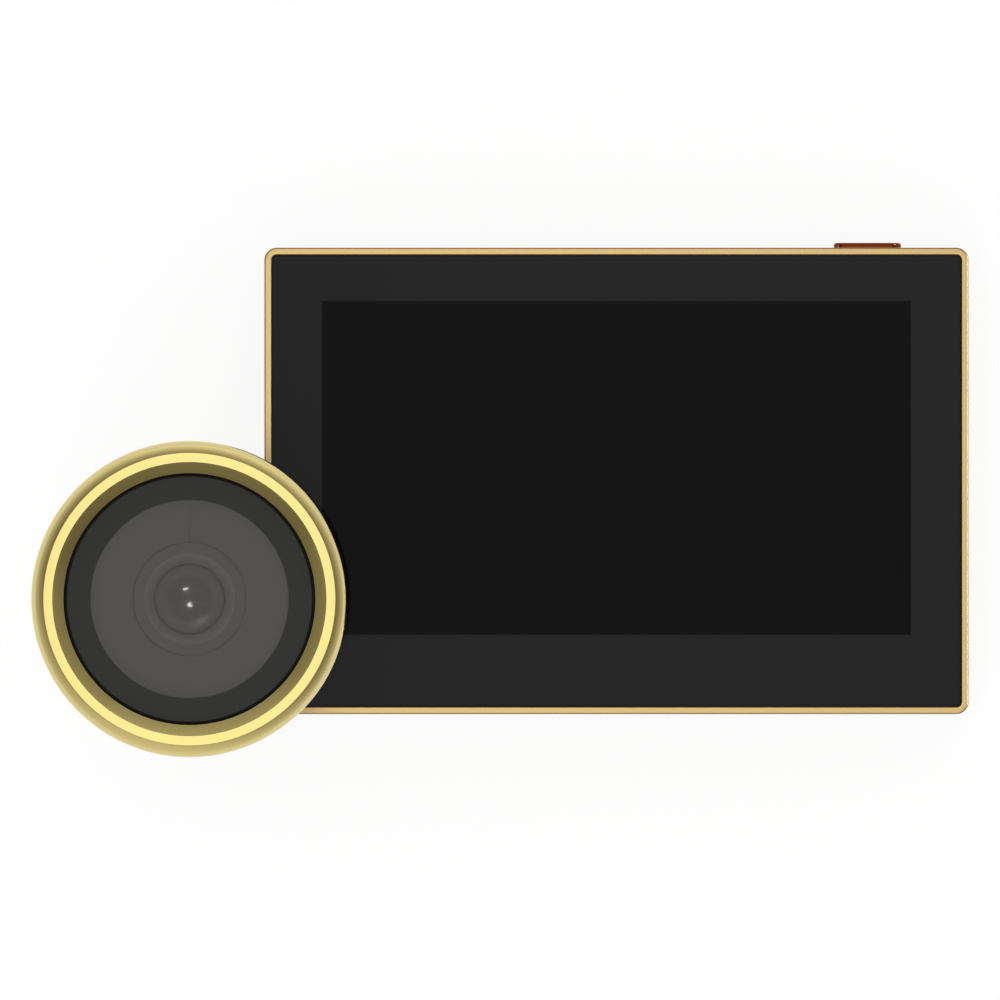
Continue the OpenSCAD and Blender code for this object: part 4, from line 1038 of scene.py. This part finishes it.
@dataclass
class Studio:
    """Camera straight above, pale floor, soft sky and a few lamps."""

    mm_per_pixel: float = 0.16135
    pixels: int = 1000
    lens: float = 1500.0
    sensor: float = 36.0
    clip_m: Pair = (1.0, 50.0)
    aim_from_monitor: Pair = (-18.8, -3.08)
    floor_mm: float = 1600.0
    floor_gap_mm: float = 0.02
    floor_grey: float = 0.2
    floor_seen: float = 0.875
    floor_mirrored: float = 1.0
    lamp_reach_mm: float = 1500.0
    sky: float = 1.0
    sky_turn: float = math.radians(13.5)

    def camera(self) -> None:
        """Place a long lens over the set, at the photograph's scale on the monitor's front."""
        middle, top = middle_of("front_frame"), span("front_frame")[1][2]
        distance = self.mm_per_pixel * self.pixels * self.lens / self.sensor
        data = bpy.data.cameras.new("top_camera")
        data.lens, data.sensor_width = self.lens, self.sensor
        data.clip_start, data.clip_end = self.clip_m
        camera = bpy.data.objects.new("top_camera", data)
        camera.location = ((middle[0] + self.aim_from_monitor[0]) * MM,
                           (middle[1] + self.aim_from_monitor[1]) * MM, (top + distance) * MM)
        bpy.context.scene.collection.objects.link(camera)
        bpy.context.scene.camera = camera

    def floor(self) -> None:
        """Lay a floor that keeps a faint shadow and reads white to the eye and in reflections."""
        half, low = self.floor_mm * MM, -self.floor_gap_mm * MM
        mesh = bpy.data.meshes.new("studio_floor")
        corners = [(-half, -half, low), (half, -half, low), (half, half, low), (-half, half, low)]
        mesh.from_pydata(corners, [], [(0, 1, 2, 3)])
        floor = bpy.data.objects.new("studio_floor", mesh)
        bpy.context.scene.collection.objects.link(floor)
        material, tree = blank("matt_white_floor")
        path = add(tree, "LightPath")
        seen = add(tree, "Math", {0: path.outputs["Is Camera Ray"], 1: self.floor_seen},
                   operation="MULTIPLY")
        lift = add(tree, "Math", {
            0: path.outputs["Is Glossy Ray"], 1: self.floor_mirrored, 2: seen.outputs[0]},
            operation="MULTIPLY_ADD")
        grey = self.floor_grey
        cloth = add(tree, "BsdfDiffuse", {"Color": (grey, grey, grey, 1.0)})
        glow = add(tree, "Emission", {"Strength": lift.outputs[0]})
        both = add(tree, "AddShader", {0: cloth.outputs[0], 1: glow.outputs[0]})
        add(tree, "OutputMaterial", {"Surface": both.outputs[0]})
        mesh.materials.append(material)

    def world(self) -> None:
        """Set a soft sky, turned a little from the set's own sides.

        It is dim overhead and brighter to the horizon, and brighter ahead and behind than at the
        sides. A ramp over the angle from overhead holds the three levels of SKY_STOPS as red,
        green and blue. The camera itself sees plain white.
        """
        world = bpy.data.worlds.new("soft_sky")
        world.use_nodes = True
        tree = world.node_tree
        tree.nodes.clear()
        way = add(tree, "TexCoord").outputs["Generated"]
        turned = add(tree, "Mapping", {"Vector": way, "Rotation": (0.0, 0.0, self.sky_turn)})
        split = add(tree, "SeparateXYZ", {0: turned.outputs[0]})
        depth = split.outputs[1]
        angle = add(tree, "Math", {0: split.outputs[2]}, operation="ARCCOSINE").outputs[0]
        share = add(tree, "Math", {0: angle, 1: math.pi}, operation="DIVIDE")
        ramp = add(tree, "ValToRGB", {0: share.outputs[0]})
        elements = ramp.color_ramp.elements
        elements.remove(elements[1])
        for position, levels in SKY_STOPS.items():
            stop = elements.new(position) if position else elements[0]
            stop.color = (*levels, 1.0)
        sides, ends, more = add(tree, "SeparateColor", {0: ramp.outputs[0]}).outputs
        sine = add(tree, "Math", {0: angle}, operation="SINE")
        facing = add(tree, "Math", {0: depth, 1: sine.outputs[0]}, operation="DIVIDE").outputs[0]
        ahead = add(tree, "Math", {0: facing, 1: facing}, operation="MULTIPLY")
        blend = add(tree, "Mix", {0: ahead.outputs[0], "A": sides, "B": ends})
        lean = add(tree, "Math", {0: more, 1: SKY_EVEN}, operation="SUBTRACT")
        tilt = add(tree, "Math", {0: depth, 1: lean.outputs[0], 2: 1.0}, operation="MULTIPLY_ADD")
        tone = add(tree, "Math", {0: blend.outputs[0], 1: tilt.outputs[0]}, operation="MULTIPLY")
        light = add(tree, "Background", {"Color": tone.outputs[0], "Strength": self.sky})
        seen = add(tree, "Background", {"Color": linear("#ffffff"), "Strength": 1.0})
        path = add(tree, "LightPath")
        pick = add(tree, "MixShader", {
            0: path.outputs["Is Camera Ray"], 1: light.outputs[0], 2: seen.outputs[0]})
        add(tree, "OutputWorld", {"Surface": pick.outputs[0]})
        bpy.context.scene.world = world

    def lamp(self, lamp: Lamp) -> None:
        """Hang one lamp that faces its node and lights every piece or the named one."""
        aim = Vector(middle_of(lamp.node).tolist()) * MM
        zenith, around = math.radians(lamp.zenith), math.radians(lamp.around)
        flat = math.sin(zenith)
        way = Vector((flat * math.cos(around), flat * math.sin(around), math.cos(zenith)))
        data = bpy.data.lights.new(lamp.name, "AREA")
        data.shape = lamp.shape.value
        data.size, data.size_y = lamp.size_mm[0] * MM, lamp.size_mm[1] * MM
        data.energy = lamp.radiance * math.pi * data.size * data.size_y
        data.color = linear(lamp.tint)[:3]
        light = bpy.data.objects.new(lamp.name, data)
        light.location = aim + way * self.lamp_reach_mm * MM
        light.rotation_euler = way.to_track_quat("Z", "Y").to_euler()
        light.visible_camera = False
        bpy.context.scene.collection.objects.link(light)
        if lamp.only:
            group = bpy.data.collections.new(lamp.name + "_pieces")
            group.objects.link(bpy.data.objects[lamp.only])
            light.light_linking.receiver_collection = group

    def build(self) -> None:
        """Set up the camera, the floor and the light."""
        bpy.context.scene.view_settings.view_transform = "Standard"
        self.camera()
        self.floor()
        self.world()
        for lamp in LAMPS:
            self.lamp(lamp)


def main() -> None:
    """Load the frame, and build every sub-assembly and the studio."""
    logging.basicConfig(level=logging.INFO, format="%(name)s: %(message)s")
    for leftover in list(bpy.data.objects):
        bpy.data.objects.remove(leftover)
    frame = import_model()
    record = frame["record"]
    bodies = record["behaviour"]["bodies"]
    body_of = {node: body for body, nodes in bodies.items() for node in nodes}
    slot_of = {row["node"]: row["material_slot"] for row in record["subparts"]}
    dresser = Dresser(frame["nodes"], body_of, slot_of, {})
    Monitor(dresser).build()
    dresser.node("door_bracket", PLATED_STEEL)
    CameraHead(dresser).build()
    Clamp(dresser).build()
    Studio().build()


if __name__ == "__main__":
    main()
